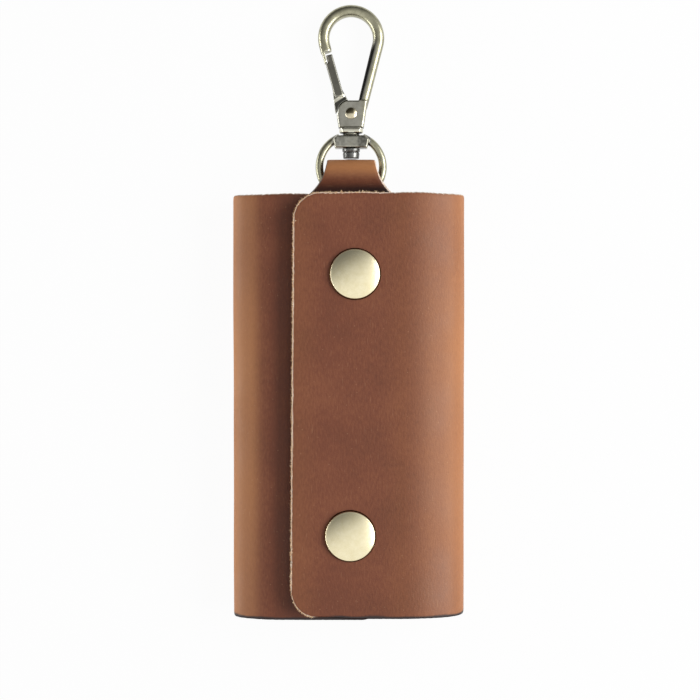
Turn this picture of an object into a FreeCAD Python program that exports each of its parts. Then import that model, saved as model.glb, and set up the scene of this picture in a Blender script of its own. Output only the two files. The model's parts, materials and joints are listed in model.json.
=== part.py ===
import FreeCAD, Part
import math
import os

os.makedirs("parts", exist_ok=True)

# Key case lying on its back. Millimetres, X across, Y towards the clasp, Z up from the back face.
Vec = FreeCAD.Vector
along_x = Vec(1, 0, 0)
along_y = Vec(0, 1, 0)
along_z = Vec(0, 0, 1)

# Hide: one sheet of leather, wrapped round the keys
leather = 1.8
body_width = 71.5
body_height = 130.0
body_depth = 22.0
right_low_radius = 8.5
left_low_radius = 7.0
shoulder_radius = 27.0
shoulder_turn = 30.0
fold_gap = 0.08
flap_edge_top = -16.7
flap_edge_bottom = -17.6
flap_corner = 7.6
wing_edge = 11.0
wing_corner = 7.6

# Snap fasteners
snap_spread = 40.0
upper_snap_x = 2.0
lower_snap_x = 0.5
cap_radius = 7.65
cap_height = 2.5
cap_rim = 0.8
cap_post_radius = 2.0
cap_lip_radius = 2.7
cap_lip = 0.35
socket_radius = 5.5
socket_wall = 1.0
socket_plate = 0.5
socket_depth = 2.2
socket_mouth_radius = 3.8
socket_mouth_lip = 0.4
snap_wire = 0.5
stud_flange_radius = 4.8
stud_flange = 0.4
stud_radius = 2.2
stud_neck = 0.25
stud_top_wall = 0.4
wing_post_radius = 1.5
wing_post_flange_radius = 4.5
wing_post_flange = 0.5

# Clearances
hole_room = 0.05
running_fit = 0.08
layer_room = 0.2
head_room = 0.2

# Hanger tongue: runs on from the back panel, loops through the ring and ends under the key plate
hanger_x = 0.8
loop_reach = 11.9
loop_radius = 5.0
tongue_slope = 20.0
tongue_landing_radius = 8.0
tongue_half_width = 7.4
tongue_flare = 15.7
tongue_shoulder = 2.7
tongue_tail = 9.6

# Key plate, rod and hooks
plate_length = 46.0
plate_sheet = 0.8
rod_radius = 0.8
rod_end_room = 0.6
hook_count = 6
hook_pitch = 7.4
hook_eye_length = 4.2
hook_eye_wall = 1.0
eye_room = 0.3
hook_length = 27.0
hook_half_width = 3.4
hook_bar = 1.4
hook_sheet = 1.5
hook_neck_width = 3.2
hook_neck = 5.6
hook_droop = 4.8
gap_start = 11.6
gap_length = 7.4
leaf = 0.35
leaf_length = 11.4
leaf_width = 1.3
leaf_room = 0.05

# Rivets through back panel, tongue and key plate
rivet_spread = 17.5
rivet_inset = 4.6
rivet_shank_radius = 1.5
rivet_head_radius = 3.5
rivet_head = 0.45
rivet_cap_radius = 3.2
rivet_cap = 1.3
rivet_cap_rim = 0.45

# Swivel ring and post
ring_wire = 2.5
ring_radius = 10.05
ring_dip = 1.45
boss_height = 4.0
boss_half_width = 5.7
boss_top_half_width = 4.6
boss_bottom_half_width = 5.1
boss_shoulder = 1.3
boss_half_depth = 2.4
boss_sink = 1.4
boss_round = 0.6
post_radius = 1.5
post_head_radius = 2.85
post_head_taper = 0.35
post_head_height = 3.1
post_flange = 0.9
post_groove = 0.45
post_groove_depth = 0.4
post_insert = 2.6

# Trigger hook
hook_gap = 0.2
collar_radius = 3.8
collar_height = 1.4
collar_round = 0.4
neck_radius = 2.6
neck_height = 0.6
waist_height = 0.3
waist_inset = 0.45
base_half_width = 4.0
base_top_half_width = 5.2
base_height = 8.4
base_half_depth = 2.7
bow_radius = 8.7
bow_rise = 20.0
bow_width = 3.6
bow_depth = 4.6
bow_round = 1.7
bow_root_offset = 3.35
eye_half_width = 2.3
eye_corner = 0.8
nose_drop = 2.2
lip_drop = 4.4
lip_width = 1.0
pin_rise = 4.3
pin_radius = 1.1
pin_head_radius = 1.9
pin_head = 0.45
pin_dome = 0.7
pin_dome_rim = 0.15
slot_half_depth = 1.45
gate_width = 2.3
gate_half_depth = 2.0
gate_room = 0.25
gate_round = 0.45
gate_step = 0.4
cheek_radius = 4.2
heel_reach = 5.0
hub_radius = 2.5
hub_side_room = 0.2
spring_wire = 0.4
spring_turns = 1.75

# Places worked out from the sizes above
half_width = body_width / 2
body_top = body_height / 2
mid_layer = leather / 2
layer_gap = socket_depth + layer_room + stud_flange
flap_under = body_depth - leather
wing_face = flap_under - layer_gap
wing_under = wing_face - leather
quarter = 90.0
third = quarter - shoulder_turn


def side_radius(rise, low_radius):
    """Radius of the wall between the low bend and the shoulder, for a layer that rises this far."""
    shoulder_rise = shoulder_radius * (1 - math.cos(math.radians(shoulder_turn)))
    return (rise - low_radius - shoulder_rise) / math.sin(math.radians(third))


right_high_radius = side_radius(flap_under, right_low_radius)
left_high_radius = side_radius(wing_under, left_low_radius)
right_flat = half_width - mid_layer - right_low_radius
left_flat = half_width - mid_layer - left_low_radius


def walk(start, heading, steps):
    """Follow straight runs and arcs in a plane; returns the mid-line points and headings."""
    u, v = start
    angle = math.radians(heading)
    stations = [(u, v, angle)]
    for kind, size, turn in steps:
        if kind == "line":
            u += size * math.cos(angle)
            v += size * math.sin(angle)
        else:
            side = math.copysign(1, turn)
            centre_u = u - side * size * math.sin(angle)
            centre_v = v + side * size * math.cos(angle)
            angle += math.radians(turn)
            u = centre_u + side * size * math.sin(angle)
            v = centre_v - side * size * math.cos(angle)
        stations.append((u, v, angle))
    return stations


def beside(station, shift):
    """Point at a distance to the right of a station, looking along its heading."""
    u, v, angle = station
    return u + shift * math.sin(angle), v - shift * math.cos(angle)


def strip(start, heading, steps, place):
    """Face of a leather layer that follows the steps; place puts plane points into space."""
    stations = walk(start, heading, steps)
    edges = []
    for shift in (mid_layer, -mid_layer):
        for index, (kind, size, turn) in enumerate(steps):
            first = place(*beside(stations[index], shift))
            last = place(*beside(stations[index + 1], shift))
            if kind == "line":
                edges.append(Part.makeLine(first, last))
                continue
            half = walk(stations[index][:2], math.degrees(stations[index][2]), [(kind, size, turn / 2)])
            edges.append(Part.Arc(first, place(*beside(half[-1], shift)), last).toShape())
    for station in (stations[0], stations[-1]):
        ends = [place(*beside(station, shift)) for shift in (mid_layer, -mid_layer)]
        edges.append(Part.makeLine(*ends))
    return Part.Face(Part.Wire(Part.sortEdges(edges)[0]))


def across(x, z):
    """Cross-section point at the bottom end of the case."""
    return Vec(x, -body_top, z)


def hide(start, heading, steps):
    return strip(start, heading, steps, across).extrude(Vec(0, body_height, 0))


def slit(station):
    """Thin cut across the leather at a fold line."""
    u, v, angle = station
    cut = Part.makeBox(fold_gap, body_height, 3 * leather, Vec(-fold_gap / 2, -body_top, -1.5 * leather))
    cut.rotate(Vec(0, 0, 0), along_y, -math.degrees(angle))
    cut.translate(Vec(u, 0, v))
    return cut


def rounded_plan(points, corner, height, free_side):
    """Upright prism of a plan outline whose corners on the free side are rounded."""
    corners = [Vec(x, y, 0) for x, y in points]
    prism = Part.Face(Part.makePolygon(corners + corners[:1])).extrude(Vec(0, 0, height))
    uprights = []
    for edge in prism.Edges:
        first = edge.Vertexes[0].Point
        last = edge.Vertexes[-1].Point
        if abs(first.z - last.z) > height / 2 and free_side(first):
            uprights.append(edge)
    return prism.makeFillet(corner, uprights)


def disc(radius, height, centre, axis=along_z):
    return Part.makeCylinder(radius, height, centre, axis)


def turned(outline, base):
    """Solid turned about the upright line through base from (radius, height) points."""
    points = [Vec(radius, 0, height) for radius, height in outline]
    face = Part.Face(Part.makePolygon(points + points[:1]))
    solid = face.revolve(Vec(0, 0, 0), along_z, 360)
    solid.translate(base)
    return solid


def domed(radius, rim, height, base):
    """Low dome on an upright rim."""
    rise = height - rim
    ball = (radius * radius + rise * rise) / (2 * rise)
    crown = Part.makeSphere(ball, Vec(0, 0, height - ball))
    dome = disc(radius, height, Vec(0, 0, 0)).common(crown)
    dome.translate(base)
    return dome


def extruded(points, half_depth, mid_height):
    """Prism of an outline in the plane of the clasp or hook."""
    corners = [Vec(x, y, mid_height - half_depth) for x, y in points]
    face = Part.Face(Part.makePolygon(corners + corners[:1]))
    return face.extrude(Vec(0, 0, 2 * half_depth))


def wire_along(edges, radius, start, direction):
    """Round wire swept along joined edges."""
    path = Part.Wire(edges)
    profile = Part.Wire(Part.makeCircle(radius, start, direction))
    return path.makePipeShell([profile], True, False)


def save(name, shape):
    if not shape.isValid():
        raise ValueError(name + " is not a valid solid")
    shape.exportStep("parts/" + name + ".step")


# Fold lines of the hide
right_steps = [
    ("line", right_flat, 0),
    ("arc", right_low_radius, shoulder_turn),
    ("arc", right_low_radius, third),
    ("arc", right_high_radius, third),
]
left_steps = [
    ("line", left_flat, 0),
    ("arc", left_low_radius, -quarter),
    ("arc", left_high_radius, -third),
]
panel_start = (0, mid_layer)
right_stations = walk(panel_start, 0, right_steps)
left_stations = walk(panel_start, 180, left_steps)
low_fold, side_fold, shoulder_fold = right_stations[2:5]
wing_fold = left_stations[3]
flap_flat_start = walk(shoulder_fold[:2], 180 - shoulder_turn, [("arc", shoulder_radius, shoulder_turn)])
wing_flat_start = walk(wing_fold[:2], shoulder_turn, [("arc", shoulder_radius, -shoulder_turn)])
flap_run = flap_flat_start[-1][0] - flap_edge_bottom
wing_run = wing_edge - wing_flat_start[-1][0]

# Snap places
snaps = {
    "upper": Vec(upper_snap_x, snap_spread, 0),
    "lower": Vec(lower_snap_x, -snap_spread, 0),
}

# Clasp places
clasp_z = leather + layer_room + ring_wire / 2
ring_y = body_top - ring_dip + ring_wire / 2 + ring_radius
boss_top = ring_y + ring_radius + ring_wire / 2 - boss_sink
boss_bottom = boss_top - boss_height
collar_bottom = boss_top + hook_gap + neck_height
waist_bottom = collar_bottom + collar_height
base_bottom = waist_bottom + waist_height
base_top = base_bottom + base_height
pin_y = base_bottom + pin_rise
bow_y = base_top + bow_rise
plate_bottom = 2 * leather
plate_top = plate_bottom + plate_sheet
knuckle_radius = rod_radius + running_fit + plate_sheet
rod_z = plate_bottom + knuckle_radius


# Tongue of the hide, as a path in the plane of Y and Z
loop_mid = loop_radius - mid_layer
slope = math.radians(tongue_slope)
loop_centre_y = body_top + loop_reach - loop_radius
drop = loop_radius + loop_mid * math.cos(slope) - leather - mid_layer
landing_drop = tongue_landing_radius * (1 - math.cos(slope))
tongue_run = (drop - landing_drop) / math.sin(slope)
tongue_steps = [
    ("line", loop_centre_y - body_top, 0),
    ("arc", loop_mid, quarter),
    ("arc", loop_mid, quarter + tongue_slope),
    ("line", tongue_run, 0),
    ("arc", tongue_landing_radius, -tongue_slope),
    ("line", tongue_tail, 0),
]
tongue_stations = walk((body_top, mid_layer), 0, tongue_steps)
landing_y = tongue_stations[5][0]
tail_y = tongue_stations[6][0]
rivet_y = landing_y - rivet_inset
eye_radius = rod_radius + running_fit + hook_eye_wall
rod_y = tail_y - eye_radius - eye_room
rivets = [Vec(-rivet_spread + hanger_x, rivet_y, 0), Vec(rivet_spread + hanger_x, rivet_y, 0)]


def back_panel():
    panel = hide(panel_start, 0, right_steps[:2]).fuse(hide(panel_start, 180, left_steps)).removeSplitter()
    panel = panel.cut(slit(low_fold)).cut(slit(wing_fold))
    for place in rivets:
        panel = panel.cut(disc(rivet_shank_radius + hole_room, leather, place))
        panel = panel.cut(disc(rivet_head_radius + hole_room, rivet_head + hole_room, place))
    return panel


def right_wall(start, heading, step, folds):
    wall = hide(start, heading, [step])
    for fold in folds:
        wall = wall.cut(slit(fold))
    return wall


def outer_flap():
    steps = [("arc", shoulder_radius, shoulder_turn), ("line", flap_run, 0)]
    flap = hide(shoulder_fold[:2], 180 - shoulder_turn, steps).cut(slit(shoulder_fold))
    outline = [
        (body_width, -body_top),
        (body_width, body_top),
        (flap_edge_top, body_top),
        (flap_edge_bottom, -body_top),
    ]
    flap = flap.common(rounded_plan(outline, flap_corner, 2 * body_depth, lambda point: point.x < 0))
    for place in snaps.values():
        flap = flap.cut(disc(cap_post_radius + hole_room, 2 * body_depth, place))
    return flap


def inner_wing():
    steps = [("arc", shoulder_radius, -shoulder_turn), ("line", wing_run, 0)]
    wing = hide(wing_fold[:2], shoulder_turn, steps).cut(slit(wing_fold))
    outline = [
        (-body_width, -body_top),
        (wing_edge, -body_top),
        (wing_edge, body_top),
        (-body_width, body_top),
    ]
    wing = wing.common(rounded_plan(outline, wing_corner, 2 * body_depth, lambda point: point.x > 0))
    for place in snaps.values():
        wing = wing.cut(disc(wing_post_radius + hole_room, 2 * body_depth, place))
    return wing


def hanger_tongue():
    reach = tongue_half_width + tongue_flare

    def upright(y, z):
        return Vec(hanger_x - reach, y, z)

    loop = strip((body_top, mid_layer), 0, tongue_steps, upright).extrude(Vec(2 * reach, 0, 0))
    shoulder_y = body_top - tongue_shoulder
    flare_y = shoulder_y + tongue_flare
    for side in (-1, 1):
        centre = Vec(hanger_x + side * reach, flare_y, -leather)
        waste = disc(tongue_flare, 4 * loop_radius, centre)
        corner_x = min(centre.x, centre.x - side * tongue_flare)
        upper = Part.makeBox(tongue_flare, body_top, 4 * loop_radius, Vec(corner_x, flare_y, -leather))
        loop = loop.cut(waste).cut(upper)
    for place in rivets:
        loop = loop.cut(disc(rivet_shank_radius + hole_room, 2 * body_depth, place))
    return loop


def snap_cap(place):
    base = place + Vec(0, 0, body_depth)
    post_length = leather + socket_plate
    cap = domed(cap_radius, cap_rim, cap_height, base)
    post = disc(cap_post_radius, post_length, base - Vec(0, 0, post_length))
    lip = disc(cap_lip_radius, cap_lip, base - Vec(0, 0, post_length + cap_lip))
    return cap.fuse([post, lip]).removeSplitter()


def snap_socket(place):
    bore = cap_post_radius + hole_room
    cavity = socket_radius - socket_wall
    lip_top = socket_mouth_lip - socket_depth
    outline = [
        (bore, 0),
        (socket_radius, 0),
        (socket_radius, -socket_depth),
        (socket_mouth_radius, -socket_depth),
        (socket_mouth_radius, lip_top),
        (cavity, lip_top),
        (cavity, -socket_plate),
        (bore, -socket_plate),
    ]
    return turned(outline, place + Vec(0, 0, flap_under))


def snap_spring(place):
    """Hairpin wire that grips the stud, lying on the socket's mouth."""
    wire = snap_wire / 2
    half = stud_radius + running_fit + wire
    height = flap_under - socket_depth + socket_mouth_lip + wire + hole_room
    cavity = socket_radius - socket_wall - wire - hole_room
    bend_x = cavity - half
    open_x = -math.sqrt(cavity * cavity - half * half)
    near = [place + Vec(open_x, half, height), place + Vec(bend_x, half, height)]
    far = [place + Vec(bend_x, -half, height), place + Vec(open_x, -half, height)]
    tip = place + Vec(bend_x + half, 0, height)
    edges = [Part.makeLine(*near), Part.Arc(near[1], tip, far[0]).toShape(), Part.makeLine(*far)]
    return wire_along(edges, wire, near[0], along_x)


def snap_stud(place):
    bore = wing_post_radius + hole_room
    top = layer_gap - socket_plate - cap_lip - head_room
    neck = stud_radius - stud_neck
    swell = stud_flange + stud_neck
    outline = [
        (bore, 0),
        (stud_flange_radius, 0),
        (stud_flange_radius, stud_flange),
        (neck, stud_flange),
        (neck, swell),
        (stud_radius, swell + stud_neck),
        (stud_radius, top - stud_neck),
        (neck, top),
        (0, top),
        (0, top - stud_top_wall),
        (bore, top - stud_top_wall),
    ]
    return turned(outline, place + Vec(0, 0, wing_face))


def wing_post(place):
    flange = disc(wing_post_flange_radius, wing_post_flange, place + Vec(0, 0, wing_under - wing_post_flange))
    stud_top = layer_gap - socket_plate - cap_lip - head_room
    length = leather + stud_top - stud_top_wall - hole_room
    shank = disc(wing_post_radius, length, place + Vec(0, 0, wing_under))
    return flange.fuse(shank).removeSplitter()


hook_places = [hanger_x + hook_pitch * (index - (hook_count - 1) / 2) for index in range(hook_count)]


def key_plate():
    left = hanger_x - plate_length / 2
    sheet = Part.makeBox(plate_length, landing_y - rod_y, plate_sheet, Vec(left, rod_y, plate_bottom))
    barrel = disc(knuckle_radius, plate_length, Vec(left, rod_y, rod_z), along_x)
    plate = sheet.fuse(barrel).removeSplitter()
    plate = plate.cut(disc(rod_radius + running_fit, plate_length, Vec(left, rod_y, rod_z), along_x))
    window = hook_eye_length + 2 * eye_room
    clear = eye_radius + eye_room
    for x in hook_places:
        corner = Vec(x - window / 2, rod_y - clear, rod_z - clear)
        plate = plate.cut(Part.makeBox(window, 2 * clear, 2 * clear, corner))
    for place in rivets:
        plate = plate.cut(disc(rivet_shank_radius + hole_room, 2 * body_depth, place))
    return plate


def hook_rod():
    length = plate_length - 2 * rod_end_room
    return disc(rod_radius, length, Vec(hanger_x - length / 2, rod_y, rod_z), along_x)


def stadium(half, top, bottom, half_depth, x):
    """Slab with round ends, standing for a loop's outside or inside."""
    upper = Vec(x, top - half, rod_z - half_depth)
    lower = Vec(x, bottom + half, rod_z - half_depth)
    corner = Vec(x - half, bottom + half, rod_z - half_depth)
    middle = Part.makeBox(2 * half, upper.y - lower.y, 2 * half_depth, corner)
    ends = [disc(half, 2 * half_depth, centre) for centre in (upper, lower)]
    return middle.fuse(ends).removeSplitter()


def drooped(shape):
    """Hooks hang down on to the back panel from their rod."""
    shape.rotate(Vec(0, rod_y, rod_z), along_x, hook_droop)
    return shape


def key_hook(x):
    half = hook_sheet / 2
    loop_top = rod_y - hook_neck + hook_bar
    tip = rod_y - hook_length
    loop = stadium(hook_half_width, loop_top, tip, half, x)
    eye_start = Vec(x - hook_eye_length / 2, rod_y, rod_z)
    eye = disc(eye_radius, hook_eye_length, eye_start, along_x)
    neck_corner = Vec(x - hook_neck_width / 2, loop_top - hook_bar, rod_z - half)
    neck = Part.makeBox(hook_neck_width, rod_y - neck_corner.y, hook_sheet, neck_corner)
    hook = loop.fuse([eye, neck]).removeSplitter()
    hook = hook.cut(stadium(hook_half_width - hook_bar, loop_top - hook_bar, tip + hook_bar, half, x))
    hook = hook.cut(disc(rod_radius + running_fit, hook_eye_length, eye_start, along_x))
    mouth = Vec(x + hook_half_width - hook_bar - leaf_room, rod_y - gap_start - gap_length, rod_z - half)
    hook = hook.cut(Part.makeBox(2 * hook_bar, gap_length, hook_sheet, mouth))
    return drooped(hook)


def key_gate(x):
    """Leaf spring that closes a key hook's mouth from inside."""
    wall = x + hook_half_width - hook_bar - leaf_room
    start = rod_y - hook_neck - hook_half_width + hook_bar
    corner = Vec(wall - leaf, start - leaf_length, rod_z - leaf_width / 2)
    return drooped(Part.makeBox(leaf, leaf_length, leaf_width, corner))


def rivet_post(place):
    head = disc(rivet_head_radius, rivet_head, place + Vec(0, 0, hole_room))
    shank = disc(rivet_shank_radius, plate_top + rivet_cap / 2 - hole_room, place + Vec(0, 0, hole_room))
    return head.fuse(shank).removeSplitter()


def rivet_crown(place):
    cap = domed(rivet_cap_radius, rivet_cap_rim, rivet_cap, place + Vec(0, 0, plate_top))
    bore = disc(rivet_shank_radius + hole_room, rivet_cap / 2 + hole_room, place + Vec(0, 0, plate_top))
    return cap.cut(bore)


def on_axis(radius, bottom, height):
    """Disc on the swivel's axis."""
    return disc(radius, height, Vec(hanger_x, bottom, clasp_z), along_y)


def on_pin(radius, half_depth):
    """Disc about the gate's pin, centred in the clasp's depth."""
    return disc(radius, 2 * half_depth, Vec(hanger_x, pin_y, clasp_z - half_depth))


def swivel_ring():
    centre = Vec(hanger_x, ring_y, clasp_z)
    ring = Part.makeTorus(ring_radius, ring_wire / 2, centre, along_z)
    boss = extruded(
        [
            (hanger_x - boss_bottom_half_width, boss_bottom),
            (hanger_x + boss_bottom_half_width, boss_bottom),
            (hanger_x + boss_half_width, boss_top - boss_shoulder),
            (hanger_x + boss_top_half_width, boss_top),
            (hanger_x - boss_top_half_width, boss_top),
            (hanger_x - boss_half_width, boss_top - boss_shoulder),
        ],
        boss_half_depth,
        clasp_z,
    )
    boss = boss.makeFillet(boss_round, [edge for edge in boss.Edges if abs(edge.tangentAt(0).z) < 0.5])
    reach = ring_radius + ring_wire
    half = collar_radius + hook_gap
    shaved = Part.makeBox(2 * half, reach, 2 * reach, Vec(hanger_x - half, boss_top, clasp_z - reach))
    ring = ring.cut(shaved).fuse(boss).removeSplitter()
    return ring.cut(on_axis(post_radius + running_fit, boss_bottom, boss_height))


def swivel_post():
    """Shank in the ring's boss with a turned and grooved head below it."""
    head_top = boss_bottom - hook_gap
    head = Part.makeCone(
        post_head_radius - post_head_taper,
        post_head_radius,
        post_head_height,
        Vec(hanger_x, head_top - post_head_height, clasp_z),
        along_y,
    )
    groove_bottom = head_top - post_flange - post_groove
    groove = on_axis(2 * post_head_radius, groove_bottom, post_groove)
    groove = groove.cut(on_axis(post_head_radius - post_groove_depth, groove_bottom, post_groove))
    length = collar_bottom + post_insert - head_top
    return head.cut(groove).fuse(on_axis(post_radius, head_top, length)).removeSplitter()


# Mid-line of the bow: tangents from the base meet the round top
root_height = bow_y - base_top
root_distance = math.hypot(bow_root_offset, root_height)
tangent_angle = math.atan2(-root_height, bow_root_offset) + math.acos(bow_radius / root_distance)
touch_x = bow_radius * math.cos(tangent_angle)
touch_y = bow_y + bow_radius * math.sin(tangent_angle)
arm_length = math.hypot(touch_x - bow_root_offset, touch_y - base_top)
arm_x = (touch_x - bow_root_offset) / arm_length
arm_y = (touch_y - base_top) / arm_length


def on_left_arm(distance, shift):
    """Point on the gate's side: distance down from the round top, shift towards the outside."""
    x = hanger_x - touch_x + distance * arm_x - shift * arm_y
    return x, touch_y - distance * arm_y + shift * arm_x


def bow():
    """Round top with its right arm and its stepped nose, swept from one rounded section."""
    nose_x, nose_y = on_left_arm(nose_drop, 0)
    nose = Vec(nose_x, nose_y, clasp_z)
    left = Vec(hanger_x - touch_x, touch_y, clasp_z)
    top = Vec(hanger_x, bow_y + bow_radius, clasp_z)
    right = Vec(hanger_x + touch_x, touch_y, clasp_z)
    root = Vec(hanger_x + bow_root_offset, base_top - bow_width / 2, clasp_z)
    edges = [Part.makeLine(nose, left), Part.Arc(left, top, right).toShape(), Part.makeLine(right, root)]
    blank = Part.makeBox(bow_width, 1.0, bow_depth, Vec(-bow_width / 2, 0, -bow_depth / 2))
    blank = blank.makeFillet(bow_round, [edge for edge in blank.Edges if abs(edge.tangentAt(0).y) > 0.5])
    section = [face for face in blank.Faces if face.CenterOfMass.y < 1e-6][0].OuterWire
    section.rotate(Vec(0, 0, 0), along_z, math.degrees(math.atan2(arm_x, arm_y)))
    section.translate(nose)
    return Part.Wire(edges).makePipeShell([section], True, False)


def slab(half_width, half_depth, bottom, height):
    """Block across the clasp's axis."""
    corner = Vec(hanger_x - half_width, bottom, clasp_z - half_depth)
    return Part.makeBox(2 * half_width, height, 2 * half_depth, corner)


def eye():
    """Teardrop opening of the bow: a round top that narrows to the base."""
    inner = bow_radius - bow_width / 2
    taper = math.acos((inner - eye_half_width) / root_height)
    reach_x = inner * math.sin(taper)
    reach_y = bow_y - inner * math.cos(taper)
    sides = extruded(
        [
            (hanger_x - eye_half_width, base_top),
            (hanger_x + eye_half_width, base_top),
            (hanger_x + reach_x, reach_y),
            (hanger_x - reach_x, reach_y),
        ],
        bow_depth,
        clasp_z,
    )
    uprights = [edge for edge in sides.Edges if abs(edge.tangentAt(0).z) > 0.5]
    sides = sides.makeFillet(eye_corner, [edge for edge in uprights if edge.CenterOfMass.y < bow_y - inner])
    return sides.fuse(disc(inner, 2 * bow_depth, Vec(hanger_x, bow_y, clasp_z - bow_depth))).removeSplitter()


def gate_side(radius):
    """Room above and left of the pin, outside a circle about it."""
    room = slab(bow_radius, 2 * base_half_depth, pin_y, bow_rise)
    room.translate(Vec(-bow_radius, 0, 0))
    return room.cut(on_pin(radius, 2 * base_half_depth))


def hook_body():
    base = extruded(
        [
            (hanger_x - base_half_width, base_bottom),
            (hanger_x + base_half_width, base_bottom),
            (hanger_x + base_top_half_width, base_top),
            (hanger_x - base_top_half_width, base_top),
        ],
        base_half_depth,
        clasp_z,
    )
    base = base.makeFillet(bow_round / 2, [edge for edge in base.Edges if abs(edge.tangentAt(0).y) > 0.5])
    collar = on_axis(collar_radius, collar_bottom, collar_height)
    collar = collar.common(slab(collar_radius, base_half_depth, collar_bottom, collar_height))
    rims = [edge for edge in collar.Edges if abs(edge.tangentAt(0).y) < 0.5]
    collar = collar.makeFillet(collar_round, rims)
    neck = on_axis(neck_radius, collar_bottom - neck_height, neck_height)
    waist = slab(base_half_width - waist_inset, base_half_depth - waist_inset, waist_bottom, waist_height)
    outer = bow_width / 2
    lip = extruded(
        [
            on_left_arm(nose_drop - lip_width, outer),
            on_left_arm(lip_drop + nose_drop, outer),
            on_left_arm(lip_drop + nose_drop - lip_width, outer - lip_width),
            on_left_arm(nose_drop - lip_width, outer - lip_width),
        ],
        gate_half_depth,
        clasp_z,
    )
    foot = base.cut(gate_side(cheek_radius)).fuse([waist, collar, neck])
    hook = foot.fuse([bow(), lip]).removeSplitter().cut(eye())
    slot_bottom = pin_y - hub_radius - hub_side_room
    slot_right = hanger_x + hub_radius + hub_side_room
    slot_left = hanger_x - 2 * bow_radius
    slot_corner = Vec(slot_left, slot_bottom, clasp_z - slot_half_depth)
    slot_height = base_top + bow_width - slot_bottom
    hook = hook.cut(Part.makeBox(slot_right - slot_left, slot_height, 2 * slot_half_depth, slot_corner))
    hook = hook.cut(on_pin(pin_radius + running_fit, 2 * base_half_depth))
    return hook.cut(on_axis(post_radius, collar_bottom - neck_height, post_insert + neck_height))


def hook_gate():
    """Sprung gate: a bar that closes on the nose, a web and a hub on the pin."""
    tip = nose_drop + gate_room
    behind_lip = bow_width / 2 - lip_width - gate_room
    outside = bow_width / 2 - gate_room
    inside = behind_lip - gate_width
    lip_end = nose_drop + lip_drop + gate_room
    arm_end = arm_length - bow_width / 2
    bar = extruded(
        [
            on_left_arm(tip + gate_width / 2, behind_lip),
            on_left_arm(tip, inside),
            on_left_arm(arm_end, inside),
            on_left_arm(arm_end + gate_width / 2, outside),
            on_left_arm(lip_end, outside),
            on_left_arm(lip_end - lip_width, behind_lip),
        ],
        gate_half_depth,
        clasp_z,
    )
    bar = bar.makeFillet(gate_round, [edge for edge in bar.Edges if abs(edge.tangentAt(0).z) < 0.5])
    hub_half = slot_half_depth - hub_side_room
    heel = extruded(
        [
            on_left_arm(arm_end - gate_width, outside),
            on_left_arm(arm_end - gate_width, inside),
            (hanger_x - eye_half_width / 2, pin_y + cheek_radius + gate_room),
            (hanger_x - heel_reach, pin_y + gate_room),
        ],
        gate_half_depth - gate_step,
        clasp_z,
    ).common(gate_side(cheek_radius + gate_room))
    web = extruded(
        [
            on_left_arm(arm_end - gate_width, outside),
            on_left_arm(arm_end - gate_width, inside),
            (hanger_x, pin_y + hub_radius),
            (hanger_x - hub_radius, pin_y),
        ],
        hub_half,
        clasp_z,
    )
    hub = on_pin(hub_radius, hub_half)
    gate = bar.fuse([heel, web, hub]).removeSplitter()
    gate = gate.cut(on_pin(pin_radius + running_fit, 2 * hub_half))
    well = disc(hub_radius, 2 * hub_half, Vec(hanger_x, pin_y, clasp_z - hub_side_room / 2))
    return gate.cut(well)


def gate_pin():
    reach = base_half_depth + pin_head
    shank = disc(pin_radius, reach + base_half_depth, Vec(hanger_x, pin_y, clasp_z - reach))
    lower = disc(pin_head_radius, pin_head, Vec(hanger_x, pin_y, clasp_z - reach))
    upper = domed(pin_head_radius, pin_dome_rim, pin_dome, Vec(hanger_x, pin_y, clasp_z + base_half_depth))
    return shank.fuse([lower, upper]).removeSplitter()


def gate_spring():
    """Coil round the pin, in the well of the gate's hub."""
    wire = spring_wire / 2
    coil_radius = pin_radius + running_fit + wire + hub_side_room
    start = clasp_z + hub_side_room / 2 + wire
    height = slot_half_depth - hub_side_room - spring_wire
    coil = Part.makeHelix(height / spring_turns, height, coil_radius)
    coil.translate(Vec(hanger_x, pin_y, start))
    profile = Part.Wire(Part.makeCircle(wire, Vec(hanger_x + coil_radius, pin_y, start), along_y))
    return Part.Wire(coil.Edges).makePipeShell([profile], True, True)


save("back_panel", back_panel())
save("right_wall_low", right_wall(low_fold[:2], shoulder_turn, right_steps[2], (low_fold, side_fold)))
save("right_wall_high", right_wall(side_fold[:2], quarter, right_steps[3], (side_fold, shoulder_fold)))
save("outer_flap", outer_flap())
save("inner_wing", inner_wing())
save("hanger_tongue", hanger_tongue())

for name, place in snaps.items():
    save("snap_cap_" + name, snap_cap(place))
    save("snap_socket_" + name, snap_socket(place))
    save("snap_spring_" + name, snap_spring(place))
    save("snap_stud_" + name, snap_stud(place))
    save("wing_post_" + name, wing_post(place))

save("key_plate", key_plate())
save("hook_rod", hook_rod())
for number, x in enumerate(hook_places, start=1):
    save("key_hook_" + str(number), key_hook(x))
    save("key_gate_" + str(number), key_gate(x))
for name, place in zip(("left", "right"), rivets):
    save("rivet_post_" + name, rivet_post(place))
    save("rivet_cap_" + name, rivet_crown(place))

save("swivel_ring", swivel_ring())
save("swivel_post", swivel_post())
save("hook_body", hook_body())
save("hook_gate", hook_gate())
save("gate_pin", gate_pin())
save("gate_spring", gate_spring())

# Joint places for the record, in millimetres
for label, fold in (("low", low_fold), ("side", side_fold), ("shoulder", shoulder_fold)):
    print(label + " fold", [round(value, 3) for value in beside(fold, mid_layer)])
print("wing fold", [round(value, 3) for value in beside(wing_fold, -mid_layer)])
print("rod", round(rod_y, 3), round(rod_z, 3), "ring foot", round(ring_y - ring_radius, 3), round(clasp_z, 3))
print("clasp", round(hanger_x, 3), "pin", round(pin_y, 3), "bow", round(bow_y, 3))
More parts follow.
